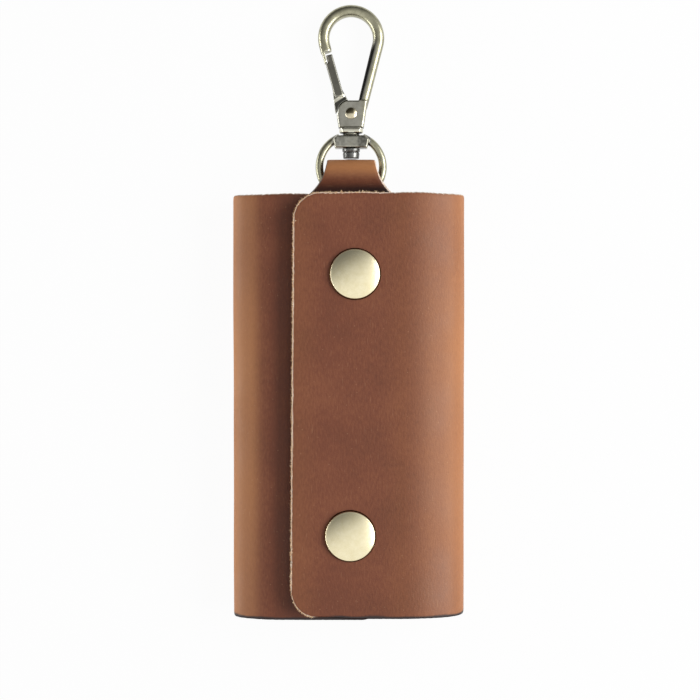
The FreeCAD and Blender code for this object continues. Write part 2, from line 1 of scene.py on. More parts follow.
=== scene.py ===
# %% [markdown]
# A leather key case lies on its back, seen from straight above. One sheet of waxed leather wraps round
# the keys and closes with two snap fasteners. A trigger clasp hangs on a swivel ring at the top, held by
# a loop of the same leather. The construction model is loaded first, and the looks are built round it in
# metres. Most sizes below are given in millimetres and turned into metres once, because leather and metal
# are easier to think of that way.

import json
import math

import bmesh
import bpy
import numpy as np
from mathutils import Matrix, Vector, noise


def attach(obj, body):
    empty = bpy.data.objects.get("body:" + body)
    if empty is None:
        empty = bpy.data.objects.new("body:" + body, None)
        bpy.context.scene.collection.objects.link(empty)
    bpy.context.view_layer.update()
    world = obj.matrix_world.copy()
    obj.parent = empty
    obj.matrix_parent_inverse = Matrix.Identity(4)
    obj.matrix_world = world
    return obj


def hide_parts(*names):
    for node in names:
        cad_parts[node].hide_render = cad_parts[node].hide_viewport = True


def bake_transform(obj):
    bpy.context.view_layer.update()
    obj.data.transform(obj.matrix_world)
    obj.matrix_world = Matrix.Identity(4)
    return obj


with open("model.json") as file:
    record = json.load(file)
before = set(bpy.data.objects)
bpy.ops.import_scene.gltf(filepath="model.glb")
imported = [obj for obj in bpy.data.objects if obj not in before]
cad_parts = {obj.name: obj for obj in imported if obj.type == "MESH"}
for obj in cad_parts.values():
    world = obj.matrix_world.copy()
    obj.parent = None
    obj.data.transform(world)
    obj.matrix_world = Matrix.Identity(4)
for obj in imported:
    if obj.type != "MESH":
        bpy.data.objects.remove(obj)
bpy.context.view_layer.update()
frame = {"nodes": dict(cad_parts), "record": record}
MM = 0.001
print("loaded", len(frame["nodes"]), "pieces")

# %% [markdown]
# A finish is a small tree of nodes. The nodes could be placed by hand in the Shader Editor, but a script
# can be read, changed and run again. One helper fills a node's inputs and another adds a node, so that
# each finish below reads as a short list of what the surface is made of.

# %% Adding nodes


def fill(tree, node, values):
    """Set a node's inputs, by name or number, to plain values or link them to the sockets that feed them."""
    for key, value in values.items():
        if isinstance(value, bpy.types.NodeSocket):
            tree.links.new(value, node.inputs[key])
        else:
            node.inputs[key].default_value = value


def put(tree, kind, values=None, **settings):
    """Add a node with its settings and the values of its inputs."""
    made = tree.nodes.new(kind)
    for key, value in settings.items():
        setattr(made, key, value)
    fill(tree, made, values or {})
    return made


def new_group(name, kind, inputs, outputs):
    """Empty node group with {label: type} sockets; returns the tree, its inputs and its output node."""
    tree = bpy.data.node_groups.new(name, kind)
    for in_out, sockets in (("INPUT", inputs), ("OUTPUT", outputs)):
        for label, socket in sockets.items():
            tree.interface.new_socket(label, in_out=in_out, socket_type="NodeSocket" + socket)
    return tree, put(tree, "NodeGroupInput").outputs, put(tree, "NodeGroupOutput")


def new_material(name):
    """Material with a bare Principled shader; returns the material, its tree and the shader."""
    made = bpy.data.materials.new(name)
    made.use_nodes = True
    return made, made.node_tree, made.node_tree.nodes["Principled BSDF"]


print("node names as in Blender", bpy.app.version_string)

# %% [markdown]
# A colour is measured on a screen, but a shader reckons in linear light. Linear numbers could be typed
# in, but values from 0 to 255 are easier to compare with a photograph, so one function turns them. A ramp
# and a mix then lay colours over each other.

# %% Colours


def shade(red, green, blue):
    """Screen colour (0 to 255) as the linear colour that a shader wants."""
    linear = []
    for value in (red, green, blue):
        part = value / 255
        linear.append(part / 12.92 if part <= 0.04045 else ((part + 0.055) / 1.055) ** 2.4)
    return (*linear, 1.0)


def ramp(tree, source, stops):
    """Colour ramp from (position, colour) stops."""
    made = put(tree, "ShaderNodeValToRGB", {"Fac": source})
    bar = made.color_ramp.elements
    while len(bar) < len(stops):
        bar.new(1.0)
    for element, (position, colour) in zip(bar, stops):
        element.position = position
        element.color = colour
    return made.outputs["Color"]


def mixed(tree, amount, first, second):
    """Colour mix of two colours or colour sockets."""
    return put(tree, "ShaderNodeMix", {0: amount, 6: first, 7: second}, data_type="RGBA").outputs[2]


print("mid brown of the leather in linear light", shade(123, 67, 43))

# %% [markdown]
# Leather and tarnished metal look rich because several soft patterns lie over each other. Each pattern is
# a noise, stretched to the span that matters, or a mask that the mesh carries. These steps come back in
# every finish. They could be written out each time, but one short function for each keeps the finishes
# readable.

# %% Patterns and masks


def reckon(tree, operation, first, second=0.0, third=0.0):
    """One step of arithmetic."""
    return put(tree, "ShaderNodeMath", {0: first, 1: second, 2: third}, operation=operation).outputs[0]


def span(tree, value, low, high, to_low=0.0, to_high=1.0, kind="LINEAR"):
    """Stretch a value from the span low to high to another span, and hold it there."""
    made = put(tree, "ShaderNodeMapRange", {"Value": value, "From Min": low, "From Max": high,
                                            "To Min": to_low, "To Max": to_high}, interpolation_type=kind)
    return made.outputs["Result"]


def cloudy(tree, place, scale, detail=2.0, roughness=0.5):
    """Soft random pattern."""
    made = put(tree, "ShaderNodeTexNoise", {"Vector": place, "Scale": scale, "Detail": detail,
                                            "Roughness": roughness})
    return made.outputs["Fac"]


def painted(tree, name):
    """Mask that the mesh itself carries as an attribute."""
    return put(tree, "ShaderNodeAttribute", attribute_name=name).outputs["Fac"]


def emboss(tree, shader, height, strength, distance):
    """Let a height pattern tilt the surface in the light."""
    bump = put(tree, "ShaderNodeBump", {"Strength": strength, "Distance": distance, "Height": height})
    fill(tree, shader, {"Normal": bump.outputs[0]})


print("pattern helpers", [helper.__name__ for helper in (reckon, span, cloudy, painted, emboss)])

# %% [markdown]
# Pull-up leather is dyed through and waxed. It shows soft clouds, fine fibres that run down the hide,
# tiny pale specks and short scratches. A picture of leather could be laid on it, but it would blur close
# up and repeat. Noise stays sharp at any distance, and as one node group it serves grain, suede and raw
# edge alike. The group reads the flat pattern of the hide from the UV map, so the leather runs on over
# each fold.

# %% Fibres of the hide
FLAT_SCALE = 5.0
FIBRE_DRAW, SCRATCH_DRAW = (1.0, 0.34, 1.0), (2.6, 0.22, 1.0)

fibre_tree, fibre_in, fibre_out = new_group(
    "hide_fibre", "ShaderNodeTree",
    {"Flat": "Vector", "Cloud Size": "Float", "Fibre Size": "Float"},
    {"Cloud": "Float", "Fibre": "Float", "Speck": "Float", "Scratch": "Float", "Height": "Float"},
)


def drawn_out(place, scale):
    """The flat pattern, stretched so that what lies on it runs down the hide."""
    return put(fibre_tree, "ShaderNodeMapping", {"Vector": place, "Scale": scale}).outputs[0]


def cells(place, scale):
    """Distance from many scattered points."""
    return put(fibre_tree, "ShaderNodeTexVoronoi", {"Vector": place, "Scale": scale}).outputs["Distance"]


flat_to_mm = 1 / (FLAT_SCALE * MM)
flat_mm = put(fibre_tree, "ShaderNodeVectorMath", {0: fibre_in["Flat"], 3: flat_to_mm}, operation="SCALE")
flat_mm = flat_mm.outputs[0]
cloud_scale = reckon(fibre_tree, "DIVIDE", 1.0, fibre_in["Cloud Size"])
fibre_scale = reckon(fibre_tree, "DIVIDE", 1.0, fibre_in["Fibre Size"])
cloud = cloudy(fibre_tree, flat_mm, cloud_scale, detail=4.0, roughness=0.55)
fibre = cloudy(fibre_tree, drawn_out(flat_mm, FIBRE_DRAW), fibre_scale, detail=3.0, roughness=0.65)
speck = span(fibre_tree, cells(flat_mm, 0.42), 0.02, 0.09, to_low=1.0, to_high=0.0)
scratch = span(fibre_tree, cloudy(fibre_tree, drawn_out(flat_mm, SCRATCH_DRAW), 1.0), 0.66, 0.76)
crumple = cloudy(fibre_tree, flat_mm, 2.6, detail=3.0)
height = reckon(fibre_tree, "MULTIPLY_ADD", cells(flat_mm, 1.9), 0.45, fibre)
height = reckon(fibre_tree, "MULTIPLY_ADD", crumple, 0.6, height)
fill(fibre_tree, fibre_out, {"Cloud": cloud, "Fibre": fibre, "Speck": speck, "Scratch": scratch,
                             "Height": height})
print(fibre_tree.name, "has", len(fibre_tree.nodes), "nodes")

# %% [markdown]
# The outer side is waxed. It turns lighter wherever it is bent, because the wax moves away from the fold,
# and on the left shoulder this lightening is partly a painted sheen. Where the bend mask falls below zero,
# beside the flap's edge on the wing and behind the tongue's loop, the colour is darkened as painted shade.
# At a cut edge the dye is rubbed off, and along the bottom end the edge is darkened as a painted shadow.
# These marks could be painted on the mesh by hand. Here every point of a strip carries them as two masks,
# called bend and bare, because they follow from its place on the hide, and the finish only mixes colours
# by them.

# %% Grain side
# PAINTED_SHADE darkens as painted shade. BURNISH_AND_SHADOW is burnish on rubbed edges and a painted shadow
# along the bottom end.
PULL_UP, PAINTED_SHADE, MARKED = shade(192, 129, 79), shade(40, 17, 14), shade(205, 160, 120)
RAW_EDGE, BURNISH_AND_SHADOW = shade(255, 232, 212), shade(34, 20, 18)


def use_fibre(tree, cloud_size, fibre_size):
    """Place the shared fibre group, fed by the hide's flat pattern."""
    flat = put(tree, "ShaderNodeUVMap", uv_map="hide_flat").outputs[0]
    return put(tree, "ShaderNodeGroup", {"Flat": flat, "Cloud Size": cloud_size, "Fibre Size": fibre_size},
               node_tree=fibre_tree).outputs


def streaked(tree, mask, fibre, share):
    """A mask that the fibres break up."""
    return reckon(tree, "MULTIPLY_ADD", reckon(tree, "SUBTRACT", fibre, 0.5), share, mask)


def leather_grain():
    """Waxed outer side, lighter along the bends."""
    made, tree, shader = new_material("hide_grain")
    look = use_fibre(tree, cloud_size=16.0, fibre_size=0.6)
    tone = reckon(tree, "MULTIPLY_ADD", look["Cloud"], 0.84, -0.17)
    tone = reckon(tree, "MULTIPLY_ADD", look["Fibre"], 0.5, tone)
    colour = ramp(tree, tone, [(0.3, shade(112, 60, 37)), (0.5, shade(123, 67, 43)),
                               (0.7, shade(135, 78, 51))])
    bend, bare = painted(tree, "bend"), painted(tree, "bare")
    # Pull-up by the bend mask, partly a painted sheen on the left shoulder. Below zero the mask mixes in
    # painted shade.
    colour = mixed(tree, span(tree, streaked(tree, bend, look["Fibre"], 0.25), 0.0, 1.0), colour, PULL_UP)
    colour = mixed(tree, span(tree, bend, 0.0, -1.0), colour, PAINTED_SHADE)
    marks = reckon(tree, "MAXIMUM", look["Speck"], reckon(tree, "MULTIPLY", look["Scratch"], 0.6))
    colour = mixed(tree, reckon(tree, "MULTIPLY", marks, 0.36), colour, MARKED)
    frayed = span(tree, streaked(tree, bare, look["Fibre"], 0.7), 0.35, 0.75)
    colour = mixed(tree, frayed, colour, RAW_EDGE)
    # Below zero, along the bottom end, the bare mask darkens the grain as a painted shadow.
    colour = mixed(tree, span(tree, bare, -0.2, -0.6), colour, BURNISH_AND_SHADOW)
    rough = span(tree, look["Cloud"], 0.3, 0.7, to_low=0.52, to_high=0.64)
    fill(tree, shader, {"Base Color": colour, "Roughness": rough, "Specular IOR Level": 0.5})
    emboss(tree, shader, look["Height"], strength=0.5, distance=0.0001)
    return made


hide_finishes = [leather_grain()]
print("outer side", hide_finishes[0].name)

# %% [markdown]
# A knife leaves a pale, fibrous edge. Along the bottom end the edge is darkened as a painted shadow. The
# inner side is napped and hardly shines. Both could share the grain's finish, but a cut edge is what tells
# the eye that leather is thick, so edge and suede get finishes of their own, and each strip has three
# finishes in this order.

# %% Raw edge and suede
GRAIN, CUT, SUEDE = 0, 1, 2


def leather_cut():
    """Cut edge: pale where it is raw, darker where it is rubbed, and painted shadow along the bottom end."""
    made, tree, shader = new_material("hide_raw_edge")
    look = use_fibre(tree, cloud_size=2.2, fibre_size=0.35)
    pale = ramp(tree, look["Cloud"], [(0.3, shade(246, 208, 172)), (0.5, RAW_EDGE),
                                      (0.7, shade(255, 242, 226))])
    # Rubbed edges take some burnish. Where the bare mask is zero or less, the edge is all painted shadow.
    colour = mixed(tree, span(tree, painted(tree, "bare"), 0.0, 0.5), BURNISH_AND_SHADOW, pale)
    fill(tree, shader, {"Base Color": colour, "Roughness": 0.9, "Specular IOR Level": 0.15})
    emboss(tree, shader, look["Height"], strength=0.6, distance=0.0002)
    return made


def leather_suede():
    """Napped inner side."""
    made, tree, shader = new_material("hide_suede")
    look = use_fibre(tree, cloud_size=6.0, fibre_size=0.3)
    tone = reckon(tree, "MULTIPLY_ADD", look["Fibre"], 0.5, reckon(tree, "MULTIPLY", look["Cloud"], 0.5))
    colour = ramp(tree, tone, [(0.3, shade(136, 92, 60)), (0.5, shade(166, 118, 80)),
                               (0.7, shade(190, 146, 106))])
    fill(tree, shader, {"Base Color": colour, "Roughness": 0.95, "Specular IOR Level": 0.1,
                        "Sheen Weight": 0.25})
    emboss(tree, shader, look["Height"], strength=0.8, distance=0.0002)
    return made


hide_finishes += [leather_cut(), leather_suede()]
print("leather finishes", [finish.name for finish in hide_finishes])

# %% [markdown]
# The hide is one sheet that goes round the keys. It could be a rounded box, or a cloth that is left to
# fall, but a box has no folds and a cloth no certain place. So its cross-section is a walk of straight
# runs and arcs, from the middle of the back round each side. The walk keeps the length of the sheet, and
# the folds lie on the joints.

# %% Cross-section of the hide
LEATHER, HALF_HEIGHT = 1.8, 65.0
RIGHT_FLAT, RIGHT_LOW, RIGHT_HIGH, FLAP_FLAT = 26.35, 8.5, 9.328, 33.95
LEFT_FLAT, LEFT_LOW, LEFT_HIGH, WING_FLAT = 27.85, 7.0, 5.747, 29.5
SHOULDER, STATION_SPACING = 27.0, 0.5


def follow(start, heading, steps, spacing):
    """Stations (u, v, heading, length so far) along straight runs (length, 0) and arcs (radius, degrees)."""
    u, v = start
    angle = math.radians(heading)
    length = 0.0
    stations = [(u, v, angle, length)]
    for size, turn in steps:
        run = abs(math.radians(turn)) * size if turn else size
        count = max(2, math.ceil(run / spacing))
        for _ in range(count):
            half = math.radians(turn) / count / 2
            chord = 2 * size * math.sin(abs(half)) if turn else run / count
            u += chord * math.cos(angle + half)
            v += chord * math.sin(angle + half)
            angle += 2 * half
            length += run / count
            stations.append((u, v, angle, length))
    return stations


right_turn = [(RIGHT_FLAT, 0), (RIGHT_LOW, 90), (RIGHT_HIGH, 60), (SHOULDER, 30), (FLAP_FLAT, 0)]
left_turn = [(LEFT_FLAT, 0), (LEFT_LOW, -90), (LEFT_HIGH, -60), (SHOULDER, -30), (WING_FLAT, 0)]
right_path = follow((0, LEATHER / 2), 0, right_turn, STATION_SPACING)
left_path = follow((0, LEATHER / 2), 180, left_turn, STATION_SPACING)
right_end, left_end = right_path[-1][3], left_path[-1][3]
print("right side", round(right_end, 1), "mm, left side", round(left_end, 1), "mm")

# %% [markdown]
# An edge that was cut by hand is never quite straight or sharp: it drifts, loses small tufts and is worn
# round. A bevel would round it evenly and a displacement would roughen the whole sheet. Small functions
# of the length along the edge were chosen, because they change the edge alone and by tenths of a
# millimetre.

# %% Cut edges
EDGE_ROWS = (0.0, 0.22, 0.5, 1.2)
EDGE_FALL, WANDER, RAGGED = 0.26, 0.16, 0.14


def drift(*place):
    """Smooth random value between about -1 and 1."""
    return noise.noise(Vector(place))


def worn_edge(distance):
    """How far the surface falls away near a cut edge."""
    into = max(0.0, 1 - distance / EDGE_ROWS[-1])
    return EDGE_FALL * into ** 3


def wander(side, along, seed):
    """Small sideways drift of a cut edge."""
    return WANDER * (drift(along * 0.11, side, seed) + 0.6 * drift(along * 0.9, side, seed + 7.0))


def ragged(along, seed):
    """Fine unevenness of a cut edge, never outwards beyond the cut."""
    tuft = drift(along * 1.1, seed, 2.0) + 0.5 * drift(along * 2.6, seed, 4.0)
    return 2 * RAGGED * min(0.0, tuft - 0.1)


print("a cut edge falls by", worn_edge(0.0), "mm and wanders by about", WANDER, "mm")

# %% [markdown]
# Each strip of the sheet is a grid: stations along the walk, rows up the hide. The rows are closest at
# the edges, where the leather falls away and its dye is rubbed off. Even rows would need many more faces
# for the same edge.

# %% Rows of the sheet
ROW_SPACING, SHEET_WAVE = 1.0, 0.16
BARE_REACH, SHADOW_REACH = 0.28, 0.75
MIDDLE_ROWS = round(2 * HALF_HEIGHT / ROW_SPACING)


def row_heights(low, high):
    """Rows from the low edge to the high one."""
    inner_low, inner_high = low + EDGE_ROWS[-1], high - EDGE_ROWS[-1]
    rows = [low + step for step in EDGE_ROWS[:-1]]
    rows += [inner_low + (inner_high - inner_low) * row / MIDDLE_ROWS for row in range(MIDDLE_ROWS + 1)]
    rows += [high - step for step in EDGE_ROWS[-2::-1]]
    return rows


def sheet_wave(length, y, hand):
    """Gentle unevenness of the whole sheet."""
    return SHEET_WAVE * drift(length * 0.035 * hand, y * 0.03, 3.1)


def bare_near(length, y, from_edge, rawness):
    """Raw fibre or, below zero, painted shadow beside a cut edge."""
    raw = rawness(length, y)
    rubbed = 1.0 + 0.5 * drift(length * 0.15, y * 0.15, 9.0)
    band = 2 * rubbed * (BARE_REACH if raw > 0 else SHADOW_REACH)
    return raw * max(0.0, 1 - from_edge / band)


print("rows up the hide", len(row_heights(-HALF_HEIGHT, HALF_HEIGHT)))

# %% [markdown]
# At every station one ring of points goes up the grain side and down the suede side, with a bulging point
# at either edge. A plane with a Solidify modifier would be quicker, but its edges would be flat and its
# two sides alike.

# %% Rings of the sheet
EDGE_BULGE, FREE_WEAR = 0.12, 0.4


def sheet_ring(station, low, high, hand, rawness, to_end):
    """Points (u, v, y, bare) once round the sheet at a station; to_end is the way to the free edge."""
    u, v, angle, length = station
    across_u, across_v = math.sin(angle) * hand, -math.cos(angle) * hand
    rows = row_heights(low, high)
    near_end = max(0.0, 1 - to_end / EDGE_ROWS[-1])
    ring = []
    for face_side, ordered in ((1, rows), (-1, rows[::-1])):
        for y in ordered:
            from_edge = min(y - low, high - y)
            fall = max(worn_edge(from_edge), FREE_WEAR * worn_edge(to_end))
            shift = face_side * (LEATHER / 2 - fall) + sheet_wave(length, y, hand)
            back = ragged(y, hand) * near_end if near_end else 0.0
            spot_u = u + across_u * shift + back * math.cos(angle)
            spot_v = v + across_v * shift + back * math.sin(angle)
            ring.append((spot_u, spot_v, y, bare_near(length, y, min(from_edge, to_end), rawness)))
        edge_y = ordered[-1] + face_side * EDGE_BULGE
        shift = sheet_wave(length, edge_y, hand)
        ring.append((u + across_u * shift, v + across_v * shift, edge_y, rawness(length, edge_y)))
    return ring


print("points in each ring", 2 * len(row_heights(-HALF_HEIGHT, HALF_HEIGHT)) + 2)

# %% [markdown]
# Every point of the leather has to know its place on the flat hide and its two masks. A mesh could be
# unwrapped and painted afterwards, but the place is known when the point is made, so it is written down
# there and then. The bmesh module builds such a skin point by point and face by face.

# %% Skin in the making


class Sheet:
    """Skin whose points know their place on the flat hide; hand is the side of the walk with the grain."""

    def __init__(self, hand, bend_at):
        self.work = bmesh.new()
        self.flat_map = self.work.loops.layers.uv.new("hide_flat")
        self.bend_layer = self.work.verts.layers.float.new("bend")
        self.bare_layer = self.work.verts.layers.float.new("bare")
        self.where = {}
        self.hand = hand
        self.bend_at = bend_at

    def add_point(self, spot, length, y, bare):
        """Point at a spot in metres, with its length along the walk and its height on the hide."""
        point = self.work.verts.new(spot)
        self.where[point] = (length, y)
        point[self.bend_layer] = self.bend_at(length, y)
        point[self.bare_layer] = bare
        return point

    def add_face(self, corners, finish):
        """Smooth face with its part of the flat pattern."""
        face = self.work.faces.new(corners)
        face.material_index = finish
        face.smooth = True
        for loop in face.loops:
            length, y = self.where[loop.vert]
            loop[self.flat_map].uv = (0.5 + self.hand * length * MM * FLAT_SCALE, 0.5 + y * MM * FLAT_SCALE)


def finished_piece(name, work, finishes):
    """Object at the origin from a closed skin, with its faces turned outwards."""
    bmesh.ops.recalc_face_normals(work, faces=work.faces)
    data = bpy.data.meshes.new(name)
    work.to_mesh(data)
    work.free()
    for finish in finishes:
        data.materials.append(finish)
    piece = bpy.data.objects.new(name, data)
    bpy.context.scene.collection.objects.link(piece)
    return piece


print("finishes of a skin", [finish.name for finish in hide_finishes])

# %% [markdown]
# The rings are joined into one closed skin with grain on one side, suede on the other and the cut all
# round. An end that meets the next strip is flat, and a free end bulges a little. An end could be closed
# by one large face, but it would shade badly, so it gets a row of points along its middle.

# %% Faces of a strip
CUT_ROWS = 1


def join_rings(sheet, rings, count, free_end):
    """Faces from ring to ring; count is the number of rows on each side."""
    around = len(rings[0])
    for index, (first, second) in enumerate(zip(rings, rings[1:])):
        at_free_end = free_end and index >= len(rings) - 1 - CUT_ROWS
        for k in range(around):
            after = (k + 1) % around
            finish = SUEDE if count < k < 2 * count else CUT
            if CUT_ROWS <= k < count - 1 - CUT_ROWS and not at_free_end:
                finish = GRAIN
            sheet.add_face((first[k], first[after], second[after], second[k]), finish)


def close_end(sheet, ring, count, rawness, bulge):
    """Cut face at an end of a strip, with its middle moved by a bulge."""
    upper, under = ring[:count], ring[2 * count:count:-1]
    middle = [ring[-1]]
    for j in range(1, count - 1):
        length, y = sheet.where[upper[j]]
        centre = (upper[j].co + under[j].co) / 2 + bulge
        middle.append(sheet.add_point(centre, length, y, rawness(length, y)))
    middle.append(ring[count])
    for j in range(count - 1):
        sheet.add_face((upper[j], upper[j + 1], middle[j + 1], middle[j]), CUT)
        sheet.add_face((middle[j], middle[j + 1], under[j + 1], under[j]), CUT)


print("rows of a cut edge", CUT_ROWS)

# %% [markdown]
# A strip is made in three steps: its rings, the faces between them and its two ends. Each strip of the
# hide could be modelled by itself, but then a change to the leather would have to be made five times, so
# all of them share one function. Where two finishes meet the shading breaks, so that the cut looks crisp.

# %% Leather strip
RIGHT_HAND, LEFT_HAND = 1, -1


def leather_strip(name, stations, low_edge, high_edge, place, hand, bend_at, rawness, free_end=False):
    """Closed sheet along the stations, between two edge functions of the length.

    place maps (u, v, y) to the case, and bend_at and rawness give the two masks at (length, y).
    """
    sheet = Sheet(hand, bend_at)
    rings = []
    for station in stations:
        length = station[3]
        to_end = stations[-1][3] - length if free_end else math.inf
        ring = sheet_ring(station, low_edge(length), high_edge(length), hand, rawness, to_end)
        rings.append([sheet.add_point(Vector(place(u, v, y)) * MM, length, y, bare)
                      for u, v, y, bare in ring])
    count = len(rings[0]) // 2 - 1
    join_rings(sheet, rings, count, free_end)
    heading = stations[-1][2]
    outwards = Vector(place(math.cos(heading), math.sin(heading), 0)) - Vector(place(0, 0, 0))
    close_end(sheet, rings[0], count, rawness, Vector())
    close_end(sheet, rings[-1], count, rawness, outwards * EDGE_BULGE * MM if free_end else Vector())
    for edge in sheet.work.edges:
        edge.smooth = len({face.material_index for face in edge.link_faces}) == 1
    piece = finished_piece(name, sheet.work, hide_finishes)
    print(name, len(piece.data.polygons), "faces")
    return piece


print("the grain lies at the hand", RIGHT_HAND, "of the right walk and at the hand", LEFT_HAND, "of the left")

# %% [markdown]
# A full case isn't quite straight: its sides bulge, a little more at the top than at the bottom, and the
# flap's free edge was cut slightly aslant. A lattice could bend the finished mesh, but its effect is hard
# to give in millimetres. A function that places each point is as short, and it leaves the middle of the
# case where the construction has it.

# %% Shape of the case
BULGE, TOP_BULGE, FLAP_SLANT = 0.38, 0.14, 0.45
BULGE_SPAN, SLANT_SPAN = (18, 35), (0, 17)


def ease(value, start, end):
    """Smooth step from 0 at start to 1 at end."""
    share = max(0.0, min(1.0, (value - start) / (end - start)))
    return share * share * (3 - 2 * share)


def case_section(u, v, y):
    """The sides bulge a little, more at the top than at the bottom."""
    bulge = (BULGE + TOP_BULGE * y / HALF_HEIGHT) * ease(abs(u), *BULGE_SPAN)
    return u + math.copysign(bulge, u), y, v


def flap_section(u, v, y):
    """The flap's free edge was cut slightly aslant."""
    x, y, z = case_section(u, v, y)
    return x + FLAP_SLANT * ease(-u, *SLANT_SPAN) * y / HALF_HEIGHT, y, z


print("the right side at mid height bulges to", round(case_section(36, 11, 0)[0], 2), "mm")

# %% [markdown]
# The flap's edge is raw, the sides are rubbed smooth, and the bottom end is darkened as a painted shadow.
# A painted mask could hold this, but it would have to be painted again for each strip. A function of the
# place on the hide gives 1 for raw fibre, less for rubbed leather and -1 for the painted shadow.

# %% Rawness of the edges
SMOOTHED, SHADOWED = 0.38, -1.0
SHADOW_SPAN = (HALF_HEIGHT - 13, HALF_HEIGHT - 4)
TOP_FADE, LOW_FADE, LOW_SHADOW = (24, 31), (5.5, 8), (8, 16)


def rubbed_and_shadowed(length, y):
    """Edges rubbed smooth and mid brown, but darkened as a painted shadow at the bottom end."""
    return SMOOTHED + (SHADOWED - SMOOTHED) * ease(-y, *SHADOW_SPAN)


def flap_rawness(length, y):
    """The flap is raw along its free edge, its corners and the middle of its top edge."""
    from_end = right_end - length
    if y > 0:
        return 1 - (1 - SMOOTHED) * ease(from_end, *TOP_FADE)
    # Along the bottom, away from the free edge, the mask falls to -1: a painted shadow.
    return 1 - ease(from_end, *LOW_FADE) - ease(from_end, *LOW_SHADOW)


print("rawness of the right side's top and bottom", rubbed_and_shadowed(0, HALF_HEIGHT), rubbed_and_shadowed(0, -HALF_HEIGHT))

# %% [markdown]
# Top and bottom edges run along the whole hide. The flap and the wing end in a free edge with two round
# corners. The corners could be cut out with a Boolean, but it would leave long thin faces there. So the
# rows follow the outline: an edge is a function of the length, and at a corner it is a quarter of an
# ellipse.

# %% Lines of the edges
LOW_CUT, LOW_CALM = 0.35, 0.3


def cut_height(side):
    """The bottom was cut a trifle longer than the top."""
    return HALF_HEIGHT + LOW_CUT if side < 0 else HALF_HEIGHT


def uneven(side, length, seed):
    """Drift and tufts of a cut edge; the bottom edge is smoother."""
    calm = LOW_CALM if side < 0 else 1.0
    return calm * (side * ragged(length, seed) + wander(side, length, seed))


def plain_edge(side, seed):
    """Top or bottom edge without a corner."""
    return lambda length: side * cut_height(side) + uneven(side, length, seed)


def round_edge(side, seed, end, wide, tall, longer=0.0, over=(0.0, 1.0)):
    """Edge with a round corner at its end; it may run aslant over a stretch and so get longer."""
    def at(length):
        into = max(0.0, length - (end - wide)) / wide
        inset = tall * (1 - math.sqrt(max(0.0, 1 - into * into)))
        reach = cut_height(side) + longer * ease(length, *over) - inset
        return side * reach + uneven(side, length, seed)
    return at


print("top edge at the middle of the back", round(plain_edge(1, 2.0)(0), 2), "mm")

# %% [markdown]
# The pull-up follows the folds: the leather is pale where it bends round the sides, and on the left
# shoulder this paleness is partly a painted sheen. Beside the flap's edge on the wing the amount falls below
# zero, which is painted shade. A pointiness mask would show only sharp bends. Here a few points along the
# walk say how much wax has moved, and a slow noise lets the amount differ up the hide.

# %% Pull-up along the folds


def pull_up(points):
    """Smooth amount along a walk from (length, amount) points."""
    def at(length, y):
        amount = points[-1][1]
        for (start, low), (end, high) in zip(points, points[1:]):
            if start <= length <= end:
                amount = low + (high - low) * ease(length, start, end)
                break
        return max(-1.0, min(1.0, amount * (1.0 + 0.35 * drift(length * 0.05, y * 0.035, 11.0))))
    return at


right_bend = pull_up([(0, 0.15), (24, 0.2), (36, 0.75), (43, 0.68), (48, 0.52), (53, 0.35), (62, 0.13),
                      (72, 0.03), (86, 0.0), (right_end, 0.16)])
# The lift from 42.5 to 47 mm is partly a painted sheen. Below zero, beside the flap's edge, the amount is
# painted shade.
left_bend = pull_up([(0, 0.15), (24, 0.2), (34, 0.9), (42.5, 0.88), (47, 0.66), (52, 0.06), (57, -0.22),
                     (62, -0.37), (left_end, -0.28)])
print("pull-up at both sides", round(right_bend(36, 0), 2), round(left_bend(34, 0), 2))

# %% [markdown]
# A strip takes its stations from a stretch of the walk. At a free edge they crowd together, so that the
# round corners and the worn edge get enough points. The whole walk could be as fine as that, but most of
# its faces would be wasted.

# %% Stations of a strip
CORNER, FAN_TURN, FAN_CLEAR, JOIN_CLEAR = 8.4, 6, 0.05, 0.2
END_GAP, SAME_LENGTH = 0.06, 1e-9


def stretch(path, start, end):
    """Stations of a path between two lengths, with exact and nearly exact ends."""
    def at(length):
        for first, last in zip(path, path[1:]):
            if first[3] <= length <= last[3] + SAME_LENGTH:
                share = (length - first[3]) / (last[3] - first[3])
                return tuple(a + (b - a) * share for a, b in zip(first, last))
        return path[-1]
    inside = [station for station in path if start + 2 * END_GAP < station[3] < end - 2 * END_GAP]
    return [at(start), at(start + END_GAP), *inside, at(end - END_GAP), at(end)]


def to_free_edge(path, start, heading):
    """Stations of a path from a length to its end, which follow the round corners and then the worn edge."""
    end = path[-1][3]
    fan = [end - CORNER + CORNER * math.sin(math.radians(turn)) for turn in range(0, 90, FAN_TURN)]
    fan = [length for length in fan if length < end - EDGE_ROWS[-1] - FAN_CLEAR]
    fan += [end - step for step in EDGE_ROWS[::-1]]
    stations = [station for station in stretch(path, start, end) if station[3] < fan[0] - JOIN_CLEAR]
    u, _, _, reached = stations[-1]
    stations += [(u + math.cos(heading) * (length - reached), path[-1][1], heading, length) for length in fan]
    return stations


print("stations from the back to the wing's edge", len(to_free_edge(left_path, 0, 0.0)))

# %% [markdown]
# The sheet bends as one on the real case. One mesh could be bent by bones, but a strip that crosses a
# single joint can be blended between two bodies and stays whole. So the right side is three strips that
# meet where the wall between two joints is rigid, and the left side is one with the wing.

# %% Strips of the hide
LOW_SEED, HIGH_SEED = 1.0, 2.0

